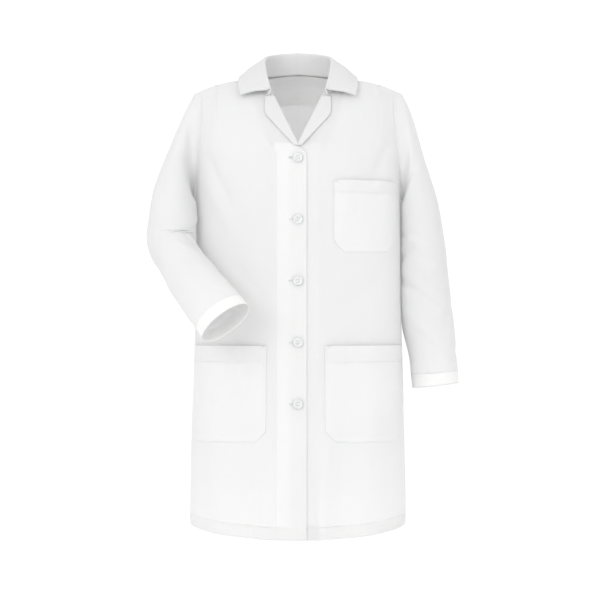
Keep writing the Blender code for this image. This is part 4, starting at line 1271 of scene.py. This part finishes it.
def make_buttonhole(index, z):
    """A worked buttonhole: a close zigzag of thread round a slit."""
    points, faces = [], []
    half, width = 0.0102, 0.0011
    count = 110
    for k in range(count):
        share = k / count
        straight = 4 * half
        total = straight + 2 * pi * width
        at = share * total
        if at < 2 * half:
            middle, out_dir = (-half + at, width), (0, 1)
        elif at < 2 * half + pi * width:
            turn = pi / 2 - (at - 2 * half) / width
            middle, out_dir = (half + width * cos(turn), width * sin(turn)), (cos(turn), sin(turn))
        elif at < 4 * half + pi * width:
            middle, out_dir = (half - (at - 2 * half - pi * width), -width), (0, -1)
        else:
            turn = -pi / 2 - (at - 4 * half - pi * width) / width
            middle, out_dir = (-half + width * cos(turn), width * sin(turn)), (cos(turn), sin(turn))
        middle, out_dir = np.array(middle), np.array(out_dir, float)
        a, b = middle - out_dir * 0.0010, middle + out_dir * 0.0006
        line = np.array([a, (a + b) / 2, b])
        x = 0.0025 - half + line[:, 0]
        lap, rise = at_front(x, z + line[:, 1])
        place = torso(lap, rise, np.array([0.00002, 0.00022, 0.00002]))
        new, quads = tube(place, 0.00017, 6)
        base = sum(len(p) for p in points)
        points.append(new)
        faces += [tuple(base + i for i in quad) for quad in quads]
    item = finish_mesh(f"buttonhole_{index}", np.concatenate(points), faces, THREAD)
    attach(item, "coat")


def make_buttons():
    shape, holes = button_mesh(), hole_cutter()
    cutter = bpy.data.objects.new("holes", holes)
    bpy.context.scene.collection.objects.link(cutter)
    cutter.hide_render = True
    base = bpy.data.objects.new("button_base", shape)
    bpy.context.scene.collection.objects.link(base)
    boolean = base.modifiers.new("holes", "BOOLEAN")
    boolean.object = cutter
    bpy.context.view_layer.update()
    drilled = bpy.data.meshes.new_from_object(base.evaluated_get(bpy.context.evaluated_depsgraph_get()))
    bpy.data.objects.remove(base)
    bpy.data.objects.remove(cutter)
    sewing = sewing_mesh("button_thread")
    for index in range(1, BUTTON_COUNT + 1):
        joint = joints[f"button_{index}_turn"]
        away = Vector(joint["axis"]).normalized()
        place = Vector(joint["pos_m"])
        pose = away.to_track_quat("Z", "Y").to_matrix().to_4x4()
        spin = Matrix.Rotation(radians((7, -12, 16, -5, 10)[index - 1]), 4, "Z")
        for kind, mesh, look in (("disc", drilled, "pearl_button"), ("sewing", sewing, "white_thread")):
            item = bpy.data.objects.new(f"button_{index}_{kind}", mesh)
            bpy.context.scene.collection.objects.link(item)
            item.matrix_world = Matrix.Translation(place) @ pose @ spin
            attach(item, f"button_{index}_body")
            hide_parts(f"button_{index}" if kind == "disc" else f"button_{index}_thread")
        make_buttonhole(index, TOP_BUTTON_Z - (index - 1) * BUTTON_SPACING)


make_buttons()


# --- Studio ------------------------------------------------------------------------------------------------------
def make_studio():
    scene = bpy.context.scene
    scene.view_settings.view_transform = "Standard"
    scene.view_settings.look = "None"
    world = bpy.data.worlds.new("studio")
    scene.world = world
    world.use_nodes = True
    world.node_tree.nodes["Background"].inputs["Color"].default_value = (1.0, 1.0, 1.0, 1)
    world.node_tree.nodes["Background"].inputs["Strength"].default_value = 1.10
    floor_look, nodes, links = new_look("studio_floor")
    out = nodes.new("ShaderNodeOutputMaterial")
    shader = nodes.new("ShaderNodeBsdfPrincipled")
    shader.inputs["Roughness"].default_value = 0.9
    grain = nodes.new("ShaderNodeTexNoise")
    grain.inputs["Scale"].default_value = 8
    tint = nodes.new("ShaderNodeMix")
    tint.data_type = "RGBA"
    tint.inputs["A"].default_value = (0.93, 0.93, 0.93, 1)
    tint.inputs["B"].default_value = (0.95, 0.95, 0.95, 1)
    links.new(grain.outputs["Fac"], tint.inputs["Factor"])
    links.new(tint.outputs["Result"], shader.inputs["Base Color"])
    links.new(shader.outputs["BSDF"], out.inputs["Surface"])
    floor = finish_mesh("studio_floor", [(-30, -30, 0), (30, -30, 0), (30, 30, 0), (-30, 30, 0)], [(0, 1, 2, 3)],
                        floor_look)
    floor.location = (0, 0, -1.38)

    def light(name, place, aim, size, power):
        data = bpy.data.lights.new(name, "AREA")
        data.shape = "RECTANGLE"
        data.size, data.size_y = size
        data.energy = power
        item = bpy.data.objects.new(name, data)
        scene.collection.objects.link(item)
        item.location = place
        item.rotation_euler = (Vector(aim) - Vector(place)).to_track_quat("-Z", "Y").to_euler()

    light("key", (-1.7, -2.6, 0.7), (0, 0, -0.35), (1.6, 1.6), 25)
    light("fill", (2.2, -2.4, 0.2), (0, 0, -0.40), (1.8, 1.8), 12)
    camera_data = bpy.data.cameras.new("camera")
    camera_data.sensor_width = 36
    camera_data.lens = 82
    camera = bpy.data.objects.new("camera", camera_data)
    scene.collection.objects.link(camera)
    camera.location = (0.004, -2.8, -0.451)
    camera.rotation_euler = (pi / 2, 0, 0)
    scene.camera = camera


make_studio()
